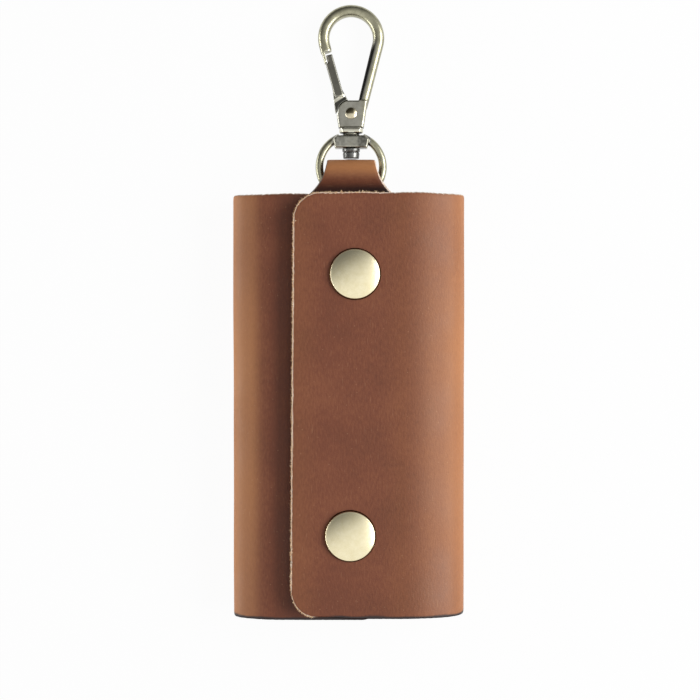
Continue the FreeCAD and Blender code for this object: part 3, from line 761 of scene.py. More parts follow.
wall_low_mid = RIGHT_FLAT + RIGHT_LOW * math.radians(60)
wall_high_mid = RIGHT_FLAT + RIGHT_LOW * math.radians(90) + RIGHT_HIGH * math.radians(30)
low_edge, high_edge = plain_edge(-1, LOW_SEED), plain_edge(1, HIGH_SEED)
lower_wall = leather_strip("hide_back_right", stretch(right_path, 0, wall_low_mid), low_edge, high_edge,
                           case_section, RIGHT_HAND, right_bend, rubbed_and_shadowed)
upper_wall = leather_strip("hide_right_side", stretch(right_path, wall_low_mid, wall_high_mid), low_edge,
                           high_edge, case_section, RIGHT_HAND, right_bend, rubbed_and_shadowed)
flap_low = round_edge(-1, LOW_SEED, right_end, wide=7.0, tall=9.2, longer=-0.55,
                      over=(right_end - 20, right_end - 10))
flap_high = round_edge(1, HIGH_SEED, right_end, wide=CORNER, tall=8.4)
flap = leather_strip("hide_flap", to_free_edge(right_path, wall_high_mid, math.pi), flap_low, flap_high,
                     flap_section, RIGHT_HAND, right_bend, flap_rawness, free_end=True)
wing_low = round_edge(-1, LOW_SEED, left_end, wide=7.0, tall=8.0, longer=1.1, over=(20, 32))
wing_high = round_edge(1, HIGH_SEED, left_end, wide=7.0, tall=8.0)
wing = leather_strip("hide_back_left_and_wing", to_free_edge(left_path, 0, 0.0), wing_low, wing_high,
                     case_section, LEFT_HAND, left_bend, rubbed_and_shadowed, free_end=True)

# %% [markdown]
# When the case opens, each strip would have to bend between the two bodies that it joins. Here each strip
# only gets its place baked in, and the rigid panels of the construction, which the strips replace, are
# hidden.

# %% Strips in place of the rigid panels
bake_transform(lower_wall)
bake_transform(upper_wall)
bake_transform(flap)
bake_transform(wing)
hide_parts("back_panel", "right_wall_low")
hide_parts("right_wall_high")
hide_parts("outer_flap")
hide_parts("inner_wing")
print("strips that bend", [strip.name for strip in (lower_wall, upper_wall, flap, wing)])

# %% [markdown]
# The tongue runs on from the back of the hide, loops round the ring and ends inside the case. A ribbon
# along a curve could make it, but it flares towards the back panel and needs the same raw edges as the
# hide. So it is walked like the hide, in the upright plane through the clasp, with its half width given
# at each station.

# %% Walk of the tongue
HANGER_X = 0.8
LOOP_RISE, LOOP_HEIGHT, LOOP_MID = 6.9, 5.0, 4.1
TAIL_SLOPE, TAIL_BEND, TAIL_FLAT = 20, 8.0, 9.6
TONGUE_HALF, TONGUE_FLARE, TONGUE_SHOULDER = 7.4, 15.7, 2.7
TONGUE_SPACING = 0.7

slope = math.radians(TAIL_SLOPE)
tail_drop = LOOP_HEIGHT + LOOP_MID * math.cos(slope) - 1.5 * LEATHER
tail_run = (tail_drop - TAIL_BEND * (1 - math.cos(slope))) / math.sin(slope)
tongue_walk = [(LOOP_RISE, 0), (LOOP_MID, 180 + TAIL_SLOPE), (tail_run, 0), (TAIL_BEND, -TAIL_SLOPE),
               (TAIL_FLAT, 0)]
tongue_path = follow((HALF_HEIGHT, LEATHER / 2), 0, tongue_walk, TONGUE_SPACING)


def tongue_reach(y):
    """Half width of the tongue, which flares along an arc towards the hide."""
    below = max(0.0, min(TONGUE_FLARE, HALF_HEIGHT - TONGUE_SHOULDER + TONGUE_FLARE - y))
    return TONGUE_HALF + TONGUE_FLARE - math.sqrt(TONGUE_FLARE ** 2 - below ** 2)


reach_of = {length: tongue_reach(y) for y, z, angle, length in tongue_path}
tail_width = 2 * max(reach_of.values())
print("tongue of", round(tongue_path[-1][3], 1), "mm, at its tail", round(tail_width, 1), "mm wide")

# %% [markdown]
# The loop is pale where it bends round the ring. Behind it, where the case shades it, it is darkened as
# painted shade. Its right edge is raw, and its left edge is rubbed dark. The tongue could be modelled as a
# piece of its own, but as one more strip of the hide it shares the grain, the suede and the cut.

# %% Hanger tongue
TONGUE_SEED, TONGUE_CALM = 5.0, 0.6
LEFT_RAW, RIGHT_RAW = 0.17, 1.0


def tongue_edge(side):
    """Left or right edge of the tongue."""
    return lambda length: side * reach_of[length] + TONGUE_CALM * wander(side, length, TONGUE_SEED)


def tongue_section(y, z, x):
    """The tongue's walk lies in the upright plane through the clasp."""
    return HANGER_X + x, y, z


def tongue_rawness(length, y):
    """The tongue's right edge is raw, and its left edge is rubbed dark."""
    return LEFT_RAW + (RIGHT_RAW - LEFT_RAW) * ease(y, 0, TONGUE_HALF)


# From about 21.5 mm on, the amount falls below zero: painted shade behind the loop.
tongue_bend = pull_up([(0, 0.2), (6, 0.35), (11, 1.0), (17.5, 1.0), (21.5, 0.05), (24.5, -0.85), (27, -1.0),
                       (50, -1.0)])
tongue = leather_strip("hide_tongue", tongue_path, tongue_edge(-1), tongue_edge(1), tongue_section,
                       RIGHT_HAND, tongue_bend, tongue_rawness, free_end=True)
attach(tongue, "case")
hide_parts("hanger_tongue")

# %% [markdown]
# A knife leaves loose fibres on a raw edge. They could be a hair system, but every piece here has to end
# as a plain mesh, and a bump can't stand out from the outline. So Geometry Nodes scatter short tapered
# hairs where the edge is barest, each turned and sized at random with a fixed seed.

# %% Tree of loose fibres
RAW_ENOUGH = 0.6
LEAN, SPIN = 1.1, 3.1
SHORTEST, LONGEST = 0.5, 1.5

fuzz_tree, fuzz_in, fuzz_out = new_group(
    "edge_fibres", "GeometryNodeTree",
    {"Geometry": "Geometry", "Density": "Float", "Length": "Float", "Thickness": "Float", "Seed": "Int",
     "Finish": "Material"},
    {"Geometry": "Geometry"},
)
rawest = put(fuzz_tree, "GeometryNodeInputNamedAttribute", {"Name": "bare"}, data_type="FLOAT")
is_raw = put(fuzz_tree, "FunctionNodeCompare", {0: rawest.outputs[0], 1: RAW_ENOUGH},
             operation="GREATER_THAN")
spots = put(fuzz_tree, "GeometryNodeDistributePointsOnFaces",
            {"Mesh": fuzz_in["Geometry"], "Selection": is_raw.outputs[0], "Density": fuzz_in["Density"],
             "Seed": fuzz_in["Seed"]})
hair = put(fuzz_tree, "GeometryNodeMeshCone", {"Vertices": 4, "Radius Bottom": fuzz_in["Thickness"],
                                               "Depth": fuzz_in["Length"]}, fill_type="NONE")
tilt = put(fuzz_tree, "FunctionNodeRandomValue", {0: (-LEAN, -LEAN, -SPIN), 1: (LEAN, LEAN, SPIN), "Seed": 5},
           data_type="FLOAT_VECTOR")
tilt = put(fuzz_tree, "FunctionNodeEulerToRotation", {0: tilt.outputs[0]})
leaning = put(fuzz_tree, "FunctionNodeRotateRotation", {0: spots.outputs["Rotation"], 1: tilt.outputs[0]},
              rotation_space="LOCAL")
grown = put(fuzz_tree, "FunctionNodeRandomValue", {2: SHORTEST, 3: LONGEST, "Seed": 8}, data_type="FLOAT")
placed = put(fuzz_tree, "GeometryNodeInstanceOnPoints",
             {"Points": spots.outputs["Points"], "Instance": hair.outputs["Mesh"],
              "Rotation": leaning.outputs[0], "Scale": grown.outputs[1]})
solid = put(fuzz_tree, "GeometryNodeRealizeInstances", {"Geometry": placed.outputs[0]})
finished = put(fuzz_tree, "GeometryNodeSetMaterial",
               {"Geometry": solid.outputs[0], "Material": fuzz_in["Finish"]})
fill(fuzz_tree, fuzz_out, {"Geometry": finished.outputs[0]})
print(fuzz_tree.name, "has", len(fuzz_tree.nodes), "nodes")

# %% [markdown]
# The tree runs as a modifier on a copy of the strip. It could stay live, but the result is kept as a plain
# mesh and the modifier is taken off. The flap gets fine hairs and thicker tufts, and the tongue fine hairs
# only.

# %% Fibres on the raw edges
fuzz_finish, fuzz_shading, fuzz_shader = new_material("hide_loose_fibre")
fuzz_place = put(fuzz_shading, "ShaderNodeTexCoord").outputs["Object"]
fuzz_colour = ramp(fuzz_shading, cloudy(fuzz_shading, fuzz_place, 900.0),
                   [(0.3, shade(222, 176, 128)), (0.7, shade(252, 228, 190))])
fill(fuzz_shading, fuzz_shader, {"Base Color": fuzz_colour, "Roughness": 0.9})


def made_plain(piece):
    """Keep what a piece's modifiers give as its own plain mesh."""
    evaluated = piece.evaluated_get(bpy.context.evaluated_depsgraph_get())
    data = bpy.data.meshes.new_from_object(evaluated)
    piece.modifiers.clear()
    piece.data = data
    return data


def loose_fibres(name, strip, density, length, thickness, seed):
    """Plain mesh of hairs on a strip's raw edges; length and thickness are in millimetres."""
    piece = bpy.data.objects.new(name, strip.data.copy())
    bpy.context.scene.collection.objects.link(piece)
    growth = piece.modifiers.new("fibres", "NODES")
    growth.node_group = fuzz_tree
    settings = {"Density": density, "Length": length * MM, "Thickness": thickness * MM, "Seed": seed,
                "Finish": fuzz_finish}
    for item in fuzz_tree.interface.items_tree:
        if item.in_out == "INPUT" and item.name in settings:
            growth[item.identifier] = settings[item.name]
    hairs = made_plain(piece)
    print(name, len(hairs.polygons), "faces")
    return piece


fibres = loose_fibres("fibres_flap", flap, density=8e6, length=0.32, thickness=0.05, seed=11)
tufts = loose_fibres("tufts_flap", flap, density=2.6e6, length=0.55, thickness=0.13, seed=14)
for hairs in (fibres, tufts):
    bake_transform(hairs)
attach(loose_fibres("fibres_tongue", tongue, density=4e6, length=0.22, thickness=0.05, seed=12), "case")

# %% [markdown]
# The metal is cast and plated: pale satin brass on the snap caps, a darker aged plate on the clasp, and
# bright nickel inside. Plain metal would look new, so tarnish clouds, bright worn edges, dark hollows and
# small pits are one shared node group. It reads Object coordinates, because cast pieces have no flat
# pattern of their own.

# %% Tarnish of the plate
tarnish_tree, tarnish_in, tarnish_out = new_group(
    "plate_tarnish", "ShaderNodeTree",
    {"Clean": "Color", "Tarnished": "Color", "Worn": "Color", "Amount": "Float", "Edge": "Float",
     "Smooth": "Float", "Dull": "Float"},
    {"Color": "Color", "Roughness": "Float", "Height": "Float"},
)
metal_place = put(tarnish_tree, "ShaderNodeTexCoord").outputs["Object"]
blotch = span(tarnish_tree, cloudy(tarnish_tree, metal_place, 420.0, detail=5.0, roughness=0.6), 0.35, 0.7)
hollow = span(tarnish_tree, tarnish_in["Edge"], 0.46, 0.2)
ridge = span(tarnish_tree, tarnish_in["Edge"], 0.54, 0.8)
stain = reckon(tarnish_tree, "MULTIPLY", blotch, tarnish_in["Amount"])
stain = reckon(tarnish_tree, "MAXIMUM", stain, hollow)
plate_colour = mixed(tarnish_tree, stain, tarnish_in["Clean"], tarnish_in["Tarnished"])
plate_colour = mixed(tarnish_tree, ridge, plate_colour, tarnish_in["Worn"])
polish = put(tarnish_tree, "ShaderNodeMix", {0: stain, 2: tarnish_in["Smooth"], 3: tarnish_in["Dull"]})
pits = cloudy(tarnish_tree, metal_place, 2600.0, detail=3.0)
fill(tarnish_tree, tarnish_out, {"Color": plate_colour, "Roughness": polish.outputs[0], "Height": pits})
print(tarnish_tree.name, "has", len(tarnish_tree.nodes), "nodes")

# %% [markdown]
# Each metal is the same group with its own colours. On the clasp the plate is rubbed through to other
# metals, from pale plate over brass to steel and black. Separate materials would meet in hard lines, so a
# mask called plate moves one finish through these colours along a ramp. On the hook, the gate and the pin
# the same mask also carries painted shade, a painted highlight and a painted reflection.

# %% Plated finish


def plated(name, clean, tarnished, worn, amount, smooth, dull, pitting, cast=False):
    """Metal with shared tarnish; a cast piece also carries a mask of its edges and hollows."""
    made, tree, shader = new_material(name)
    edge = painted(tree, "edge") if cast else 0.5
    values = {"Clean": clean, "Tarnished": tarnished, "Worn": worn, "Amount": amount, "Edge": edge,
              "Smooth": smooth, "Dull": dull}
    look = put(tree, "ShaderNodeGroup", values, node_tree=tarnish_tree).outputs
    fill(tree, shader, {"Base Color": look["Color"], "Roughness": look["Roughness"], "Metallic": 1.0})
    emboss(tree, shader, look["Height"], strength=pitting, distance=0.00003)
    return made


def rubbed_through(finish, steps):
    """Change the colours of a plated finish step by step where a piece's "plate" mask rises."""
    tree = finish.node_tree
    group = next(node for node in tree.nodes if node.type == "GROUP")
    mask = painted(tree, "plate")
    for label, colours in steps.items():
        stops = [(index / (len(colours) - 1), colour) for index, colour in enumerate(colours)]
        fill(tree, group, {label: ramp(tree, mask, stops)})


print("values of a plated finish", list(tarnish_in.keys()))

# %% [markdown]
# The clasp shows four metals, from pale plate to black steel. The gate is greyer, the pin yellower, and
# the post under the boss is dark. The caps are a warm satin brass with a dark rim, and what is hidden is
# bright nickel. A single metal would be simpler, but the eye knows a worn clasp by these small
# differences.

# %% Metals of the case
pale_plate, stained_pale = shade(232, 229, 212), shade(190, 187, 168)
brass, stained_brass = shade(182, 179, 153), shade(112, 109, 90)
steel, stained_steel = shade(180, 178, 167), shade(130, 128, 116)
black_steel, stained_black = shade(50, 50, 49), shade(28, 28, 28)
aged_plate = plated("aged_brass", brass, stained_brass, worn=shade(240, 236, 210), amount=0.6, smooth=0.26,
                    dull=0.4, pitting=0.15, cast=True)
rubbed_through(aged_plate, {"Clean": (pale_plate, brass, steel, black_steel),
                            "Tarnished": (stained_pale, stained_brass, stained_steel, stained_black)})

gate_grey, stained_gate = shade(120, 118, 108), shade(84, 82, 75)
gate_plate = plated("gate_steel", gate_grey, stained_gate, worn=shade(200, 198, 184), amount=0.6, smooth=0.26,
                    dull=0.42, pitting=0.25, cast=True)
rubbed_through(gate_plate, {"Clean": (pale_plate, gate_grey, black_steel),
                            "Tarnished": (stained_pale, stained_gate, stained_black)})

pin_brass, stained_pin = shade(222, 212, 184), shade(160, 148, 116)
pale_brass = plated("pale_pin_brass", pin_brass, stained_pin, worn=shade(240, 232, 208), amount=0.4,
                    smooth=0.22, dull=0.36, pitting=0.15, cast=True)
# The second colours darken the upper half of the pin's head as a painted reflection.
rubbed_through(pale_brass, {"Clean": (pin_brass, shade(112, 104, 82)),
                            "Tarnished": (stained_pin, shade(76, 70, 54))})

dark_plate = plated("dark_steel", shade(122, 122, 119), shade(50, 50, 49), worn=shade(104, 104, 101),
                    amount=0.7, smooth=0.26, dull=0.42, pitting=0.25, cast=True)
satin_brass = plated("satin_cap_brass", shade(246, 236, 200), shade(228, 214, 168), worn=shade(250, 242, 214),
                     amount=0.5, smooth=0.24, dull=0.3, pitting=0.06)
# Dark outer rim and foot of each cap: a painted shadow on the leather round the cap.
painted_cap_shadow = plated("painted_cap_shadow", shade(84, 58, 34), shade(60, 38, 20), worn=shade(110, 84, 54), amount=0.5,
                   smooth=0.4, dull=0.5, pitting=0.1)
bright_nickel = plated("bright_nickel", shade(206, 202, 194), shade(150, 142, 128), worn=shade(230, 228, 222),
                       amount=0.4, smooth=0.2, dull=0.34, pitting=0.12)
metals = (aged_plate, gate_plate, pale_brass, dark_plate, satin_brass, painted_cap_shadow, bright_nickel)
print("metal finishes", [metal.name for metal in metals])

# %% [markdown]
# A snap cap is a pressed disc with a low dome and a rolled rim. A foot ring where it sits on the leather
# carries a painted shadow round the cap. A flattened sphere would have no rim, and the Screw modifier leaves
# a seam to merge. So the profile is given as points and turned by a short loop, closed at the middle and
# underneath.

# %% Profile of a snap cap
CAP_RADIUS, CAP_HEIGHT, CAP_SHOULDER, CAP_ROLL = 7.62, 2.25, 1.05, 0.3
FOOT_RADIUS, FOOT_TOP, FOOT_EDGE, FOOT_SINK = 7.95, 0.22, 0.12, -0.05
DOME_STEPS, DOME_POWER = 24, 2.2
ROLL_TURN, ROLL_DROP = 15, 0.5


def cap_profile():
    """(radius, height) points from the middle of the dome to the leather."""
    dome_radius = CAP_RADIUS - CAP_ROLL
    points = []
    for step in range(DOME_STEPS + 1):
        share = step / DOME_STEPS
        rise = (CAP_HEIGHT - CAP_SHOULDER) * (1 - share ** DOME_POWER)
        points.append((dome_radius * share, CAP_SHOULDER + rise))
    for turn in range(ROLL_TURN, 91, ROLL_TURN):
        angle = math.radians(turn)
        fall = ROLL_DROP * (1 - math.cos(angle))
        points.append((dome_radius + CAP_ROLL * math.sin(angle), CAP_SHOULDER - fall))
    points += [(CAP_RADIUS, FOOT_TOP), (FOOT_RADIUS, FOOT_EDGE), (FOOT_RADIUS, FOOT_SINK), (0.0, FOOT_SINK)]
    return points


print("cap profile of", len(cap_profile()), "points")

# %% [markdown]
# The two caps sit on the flap and move with it. Both are the same size, but the hand that punched their
# holes was a little off, so the lower one stands further to the left. The dome is satin brass, and the
# last steps of the roll and the foot are dark, a painted shadow round the cap on the leather. Two objects
# could hold the two finishes, but one skin with two finishes stays closed.

# %% Snap caps
TURN_STEPS = 96
BRIGHT_STEPS = DOME_STEPS + 4
BODY_DEPTH = 22.0


def turned(name, profile, centre, finishes):
    """Closed solid of revolution about an upright line; the second finish, a painted shadow, is on the outer
    rim and foot.
    """
    x, y, z = centre
    work = bmesh.new()
    rings = []
    for radius, height in profile:
        ring = []
        for step in range(TURN_STEPS if radius else 1):
            angle = 2 * math.pi * step / TURN_STEPS
            spot = (x + radius * math.cos(angle), y + radius * math.sin(angle), z + height)
            ring.append(work.verts.new(Vector(spot) * MM))
        rings.append(ring)
    for level, (upper, lower) in enumerate(zip(rings, rings[1:])):
        for step in range(TURN_STEPS):
            after = (step + 1) % TURN_STEPS
            corners = [upper[step % len(upper)], lower[step % len(lower)], lower[after % len(lower)],
                       upper[after % len(upper)]]
            if len(upper) == 1:
                corners.pop(3)
            elif len(lower) == 1:
                corners.pop(2)
            face = work.faces.new(corners)
            face.smooth = True
            # From BRIGHT_STEPS on, the outer roll and the foot get the painted shadow.
            face.material_index = int(level >= BRIGHT_STEPS)
    return finished_piece(name, work, finishes)


for label, snap_x, snap_y in (("upper", 2.0, 40.0), ("lower", 0.5, -40.0)):
    cap = turned("cap_dome_" + label, cap_profile(), (snap_x, snap_y, BODY_DEPTH), (satin_brass, painted_cap_shadow))
    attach(cap, "flap")
    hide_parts("snap_cap_" + label)
    print(cap.name, len(cap.data.polygons), "faces")

# %% [markdown]
# The clasp is cast, tumbled and plated, so its edges are soft and worn bright, and its hollows stay dark.
# A Bevel modifier trips over the long thin triangles of a construction solid. So each piece starts as a
# copy of its solid, and a fine voxel remesh gives it an even skin, which a little smoothing rounds at the
# edges.

# %% Skin of a cast piece
SKIN, WELD = 0.00016, 1e-7


def fine_skin(node):
    """Copy of a construction piece with an even skin of small faces."""
    copy = bpy.data.objects.new(node + "_cast", frame["nodes"][node].data.copy())
    bpy.context.scene.collection.objects.link(copy)
    work = bmesh.new()
    work.from_mesh(copy.data)
    bmesh.ops.remove_doubles(work, verts=work.verts, dist=WELD)
    work.to_mesh(copy.data)
    work.free()
    remesh = copy.modifiers.new("skin", "REMESH")
    remesh.mode = "VOXEL"
    remesh.voxel_size = SKIN
    made_plain(copy)
    return copy


def skin_links(data):
    """Vertex pairs of a mesh's edges as two index arrays."""
    pairs = np.empty(len(data.edges) * 2, dtype=np.int64)
    data.edges.foreach_get("vertices", pairs)
    return pairs[0::2], pairs[1::2]


def neighbour_mean(values, links):
    """Mean of the linked vertices' values."""
    first, second = links
    total = np.zeros_like(values)
    np.add.at(total, first, values[second])
    np.add.at(total, second, values[first])
    count = np.bincount(first, minlength=len(values)) + np.bincount(second, minlength=len(values))
    return total / count[:, None]


def read_rows(data, what):
    """Places ("co") or normals of a mesh's vertices, three numbers in a row."""
    values = np.empty(len(data.vertices) * 3)
    data.vertices.foreach_get(what, values)
    return values.reshape(-1, 3)


print("skin of", round(SKIN / MM, 2), "mm")

# %% [markdown]
# Wear follows the form: an edge is rubbed bright and a hollow keeps its dirt. The Geometry node's
# pointiness shows this too, but it changes with the size of the faces and can't be spread. So the bending
# of the skin is measured at each point, by how far the point stands out from its neighbours, and it is
# kept as a mask of its own, with 0.5 for flat.

# %% Wear of a cast piece
SOFTEN, SPREAD, SPREAD_ROUNDS = 0.5, 0.6, 3
FLAT_SKIN, WEAR_CONTRAST = 0.5, 2.2


def cast_piece(node, body, finish, rounds, plate_at=None):
    """Copy of a construction piece with softened edges and masks of its edges and plating."""
    copy = fine_skin(node)
    data = copy.data
    links = skin_links(data)
    spots = read_rows(data, "co")
    for _ in range(rounds):
        spots = (1 - SOFTEN) * spots + SOFTEN * neighbour_mean(spots, links)
    data.vertices.foreach_set("co", spots.ravel())
    data.update()
    normals = read_rows(data, "normal")
    bend = np.einsum("ij,ij->i", spots - neighbour_mean(spots, links), normals)[:, None] / SKIN
    for _ in range(SPREAD_ROUNDS):
        bend = (1 - SPREAD) * bend + SPREAD * neighbour_mean(bend, links)
    mask = np.clip(FLAT_SKIN + WEAR_CONTRAST * bend[:, 0], 0, 1).astype(np.float32)
    data.attributes.new("edge", "FLOAT", "POINT").data.foreach_set("value", mask)
    if plate_at:
        plate = [plate_at(spot[0], spot[1], normal) for spot, normal in zip(spots / MM, normals)]
        data.attributes.new("plate", "FLOAT", "POINT").data.foreach_set("value", plate)
    data.shade_smooth()
    data.materials.clear()
    data.materials.append(finish)
    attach(copy, body)
    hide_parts(node)
    print(copy.name, len(data.polygons), "faces, edge mask", mask.min(), mask.mean(), mask.max())
    return copy


print("a flat skin has the mask", FLAT_SKIN)

# %% [markdown]
# The hook's collar is pale, its base is rubbed to the steel, and its neck and its groove are black. The
# left-facing walls of its opening and a line along the base's top turn black as painted shade. The ring's
# boss is dark and mottled. A mask could be painted by hand, but simple rules on height, side and direction
# give the same zones and can be read here. The mask is one number on the ramp of the finish.

# %% Plating of the hook and the ring
PALE, BRASS, STEEL, BLACK = 0.0, 1 / 3, 2 / 3, 1.0
NECK_TOP, COLLAR_TOP, GROOVE_TOP, BASE_TOP, BOW_START = 85.6, 87.0, 87.6, 95.7, 111.5
RUB_ABOVE, RUB_BELOW, KEPT_RIGHT, RIGHT_SPAN = 1.5, 1.0, 0.7, (3.0, 5.2)
WALL_TURN, WALL_FADE = (-0.15, 0.5), 5.0
FLOOR_START, FLOOR_FULL, FLOOR_END, FLOOR_SIDES = -0.8, -0.4, 0.6, (2.4, 3.0)


def hook_plate(x, y, normal):
    """Collar pale, base steel, bow brass; neck and groove black; the opening's walls and floor black as
    painted shade.
    """
    if y < COLLAR_TOP:
        return BLACK if y < NECK_TOP else PALE
    if y < GROOVE_TOP:
        return BLACK
    rubbed = ease(-y, -BASE_TOP - RUB_ABOVE, -BASE_TOP + RUB_BELOW) * (1 - KEPT_RIGHT * ease(x, *RIGHT_SPAN))
    # Painted shade: the opening's left-facing walls and a line along the base's top go towards black.
    dark = 0.0
    if y > BASE_TOP and x > HANGER_X:
        dark = ease(-normal[0], *WALL_TURN) * ease(-y, -BOW_START - WALL_FADE, -BOW_START)
    if y < BASE_TOP + FLOOR_END:
        floor = ease(y, BASE_TOP + FLOOR_START, BASE_TOP + FLOOR_FULL)
        dark = max(dark, floor * (1 - ease(abs(x - HANGER_X), *FLOOR_SIDES)))
    return max(BRASS + (STEEL - BRASS) * rubbed, BRASS + (BLACK - BRASS) * dark)


BOSS_BOTTOM, BOSS_HALF, BOSS_BLUR_LOW, BOSS_BLUR_SIDE = 80.6, 5.8, 1.0, 0.8
BOSS_DARK, LEFT_DARKER, RIGHT_DARKER = 0.33, 0.08, 0.2
LEFT_END, RIGHT_END = (1.8, 2.4), (1.7, 2.6)
MOTTLE, MOTTLE_DEPTH = 1.3, 0.14


def boss_plate(x, y, normal):
    """The ring's boss is dark and mottled, most at its right end; the wire keeps its brass."""
    aside = x - HANGER_X
    dark = BOSS_DARK + LEFT_DARKER * ease(-aside, *LEFT_END) + RIGHT_DARKER * ease(aside, *RIGHT_END)
    dark += MOTTLE_DEPTH * drift(x * MOTTLE, y * MOTTLE, 6.0)
    dark *= ease(y, BOSS_BOTTOM - BOSS_BLUR_LOW, BOSS_BOTTOM)
    dark *= 1 - ease(abs(aside), BOSS_HALF, BOSS_HALF + BOSS_BLUR_SIDE)
    return BRASS + dark


print("mask of the bow and of the boss", hook_plate(-8, 118, (0, 0, 1)), boss_plate(HANGER_X, 82, (0, 0, 1)))

# %% [markdown]
# A slanting step crosses the gate's heel. It is coloured pale as a painted highlight, and the heel below it
# is darkened as painted shade. The upper half of the pin's head is darkened as a painted reflection. Both
# are so small that they could be modelled or only coloured. Here they go on the plate mask, because at this
# size the eye sees the change of colour and not the form.

# %% Painted highlight, shade and reflection on the gate and the pin
STEP_PLACE, STEP_SLOPE, STEP_HALF, STEP_BLUR = (-4.3, 95.6), math.radians(32), 0.4, 0.25
GATE_GREY, HEEL_DARK = 0.5, 0.85
PIN_Y, REFLECTION_BLUR, REFLECTION_LOSS, PIN_RIGHT = 91.55, 0.35, 0.6, (0.4, 1.2)


def gate_step(x, y, normal):
    """A slanting step across the gate's heel is a painted highlight, and the heel below it painted shade."""
    above = (y - STEP_PLACE[1]) * math.cos(STEP_SLOPE) - (x - STEP_PLACE[0]) * math.sin(STEP_SLOPE)
    # Pale band: painted highlight on the step. Dark below it: painted shade on the heel.
    colour = GATE_GREY if above > 0 else HEEL_DARK
    return colour * ease(abs(above), STEP_HALF, STEP_HALF + STEP_BLUR)


def pin_plate(x, y, normal):
    """The upper half of the pin's head is darkened as a painted reflection, less towards its right."""
    return ease(y, PIN_Y - REFLECTION_BLUR, PIN_Y) * (1 - REFLECTION_LOSS * ease(x - HANGER_X, *PIN_RIGHT))


print("mask of the heel", gate_step(-4.3, 94, (0, 0, 1)), "and of the pin", pin_plate(0, 92, (0, 0, 1)))

# %% [markdown]
# The clasp has five cast pieces on three bodies: the ring, the hook with its post and pin, and the gate.
# They could be joined into one mesh, but then the gate couldn't swing. The large ones are smoothed three
# times and the small ones twice, so that small edges aren't lost.

# %% Clasp pieces
cast_piece("hook_body", "hook", aged_plate, 3, hook_plate)
cast_piece("hook_gate", "gate", gate_plate, 2, gate_step)
cast_piece("swivel_ring", "ring", aged_plate, 3, boss_plate)
cast_piece("swivel_post", "hook", dark_plate, 2)
cast_piece("gate_pin", "hook", pale_brass, 2, pin_plate)

# %% [markdown]
# The snaps' hidden halves, the key plate and its hooks are plain turned, bent and stamped metal. They
# could be given soft edges like the clasp, but they are seen only when the case is open. So the
# construction solids serve as they are, and each one gets the finish of its slot.

# %% Finishes on the construction pieces
slot_finishes = {"cap_brass": satin_brass, "nickel": bright_nickel}
slot_names = {part["node"]: part["material_slot"] for part in frame["record"]["subparts"]}
for name, piece in frame["nodes"].items():
    finish = slot_finishes.get(slot_names[name])
    if finish:
        piece.data.materials.clear()
        piece.data.materials.append(finish)
print("construction pieces with a metal finish", sum(slot in slot_finishes for slot in slot_names.values()))

# %% [markdown]
# The case lies on white paper that keeps only a soft shadow. A plain white plane would turn grey away
# from the lamps. So where the camera or a mirror sees it, the paper is mostly its own light and still
# catches a little shadow. To the leather it stays plain paper, so the case isn't lit too strongly from
# below.

# %% White paper
FLOOR_REACH, FLOOR_DROP, PAPER_GLOW = 1.5, 0.0002, 0.96
WHITE = (1, 1, 1, 1)


def seen_directly(tree):
    """Light Path outputs, and the mask of rays by which the camera sees, mirrors or looks through."""
    rays = put(tree, "ShaderNodeLightPath").outputs
    seen = reckon(tree, "MAXIMUM", rays["Is Camera Ray"], rays["Is Glossy Ray"])
    return rays, reckon(tree, "MAXIMUM", seen, rays["Is Transmission Ray"])


floor_mesh = bpy.data.meshes.new("floor")
floor_corners = [(-1, -1), (1, -1), (1, 1), (-1, 1)]
floor_mesh.from_pydata([(x * FLOOR_REACH, y * FLOOR_REACH, 0) for x, y in floor_corners], [], [(0, 1, 2, 3)])
floor = bpy.data.objects.new("floor", floor_mesh)
floor.location.z = -FLOOR_DROP
bpy.context.scene.collection.objects.link(floor)
paper, paper_tree, paper_shader = new_material("white_paper")
fill(paper_tree, paper_shader, {"Base Color": (0.9, 0.9, 0.9, 1), "Roughness": 0.9,
                                "Specular IOR Level": 0.0})
glow = put(paper_tree, "ShaderNodeEmission", {"Color": WHITE, "Strength": 1.0})
_, paper_seen = seen_directly(paper_tree)
paper_share = reckon(paper_tree, "MULTIPLY", paper_seen, PAPER_GLOW)
white = put(paper_tree, "ShaderNodeMixShader",
            {0: paper_share, 1: paper_shader.outputs[0], 2: glow.outputs[0]})
fill(paper_tree, paper_tree.nodes["Material Output"], {"Surface": white.outputs[0]})
floor_mesh.materials.append(paper)
print("floor of", 2 * FLOOR_REACH, "m")

# %% [markdown]
# Metal shows what stands round it. A room could be built for it to mirror, but a sky that is bright on
# one side and dim on the other gives the same soft change across a dome. The leather gets a weak even sky
# instead, so that the lamps bring out its form.

# %% Sky
EVEN_SKY, DIM_SIDE = 0.22, 0.15
BRIGHT_WAY = (0.5, -0.85, 0.0)

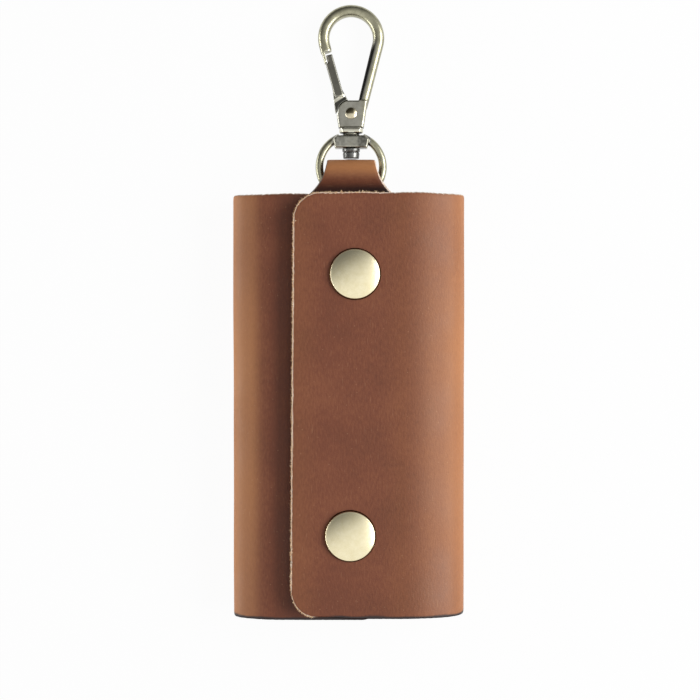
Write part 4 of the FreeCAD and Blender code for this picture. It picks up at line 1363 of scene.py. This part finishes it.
world = bpy.data.worlds.new("studio")
bpy.context.scene.world = world
world.use_nodes = True
sky_tree = world.node_tree
sky = sky_tree.nodes["Background"]
fill(sky_tree, sky, {"Color": WHITE, "Strength": EVEN_SKY})
sky_rays, mirrored = seen_directly(sky_tree)
looking = put(sky_tree, "ShaderNodeTexCoord").outputs["Generated"]
facing = put(sky_tree, "ShaderNodeVectorMath", {0: looking, 1: BRIGHT_WAY}, operation="DOT_PRODUCT")
level = span(sky_tree, facing.outputs["Value"], -0.7, 0.3, to_low=DIM_SIDE, kind="SMOOTHSTEP")
level = reckon(sky_tree, "MAXIMUM", level, sky_rays["Is Camera Ray"])
studio = put(sky_tree, "ShaderNodeBackground", {"Color": WHITE, "Strength": level})
both = put(sky_tree, "ShaderNodeMixShader", {0: mirrored, 1: sky.outputs[0], 2: studio.outputs[0]})
fill(sky_tree, sky_tree.nodes["World Output"], {"Surface": both.outputs[0]})
print(world.name, "has", len(sky_tree.nodes), "nodes")

# %% [markdown]
# Two large soft lamps stand left and right of the case. The left one is low and rakes over the sheet, so
# that the flap's raw edge stands out; the right one is higher and lights the bends. A sun would give hard
# shadows. The camera looks straight down from about half a metre, which shows a little of the sides, as
# the photograph does.

# %% Lamps and camera


def soft_lamp(name, place, target, size, power):
    """Rectangular lamp at a place, turned to a target; lengths are in metres and the power in watts."""
    lamp = bpy.data.lights.new(name, "AREA")
    lamp.shape = "RECTANGLE"
    lamp.size, lamp.size_y = size
    lamp.energy = power
    holder = bpy.data.objects.new(name, lamp)
    holder.location = place
    holder.rotation_euler = (Vector(target) - Vector(place)).to_track_quat("-Z", "Y").to_euler()
    bpy.context.scene.collection.objects.link(holder)
    print(name, power, "W")


soft_lamp("left_lamp", place=(-0.6, -0.05, 0.085), target=(0, -0.02, 0.01), size=(0.7, 0.12), power=2.3)
soft_lamp("right_lamp", place=(0.557, 0.02, 0.39), target=(0, 0, 0.01), size=(0.7, 0.36), power=4.9)

eye = bpy.data.cameras.new("photo_view")
eye.sensor_width = 36.0
eye.lens = 79.2
camera = bpy.data.objects.new("photo_view", eye)
camera.location = (0.00044, 0.0168, 0.492)
bpy.context.scene.collection.objects.link(camera)
bpy.context.scene.camera = camera
bpy.context.scene.view_settings.view_transform = "Standard"
print("camera with a lens of", eye.lens, "mm")
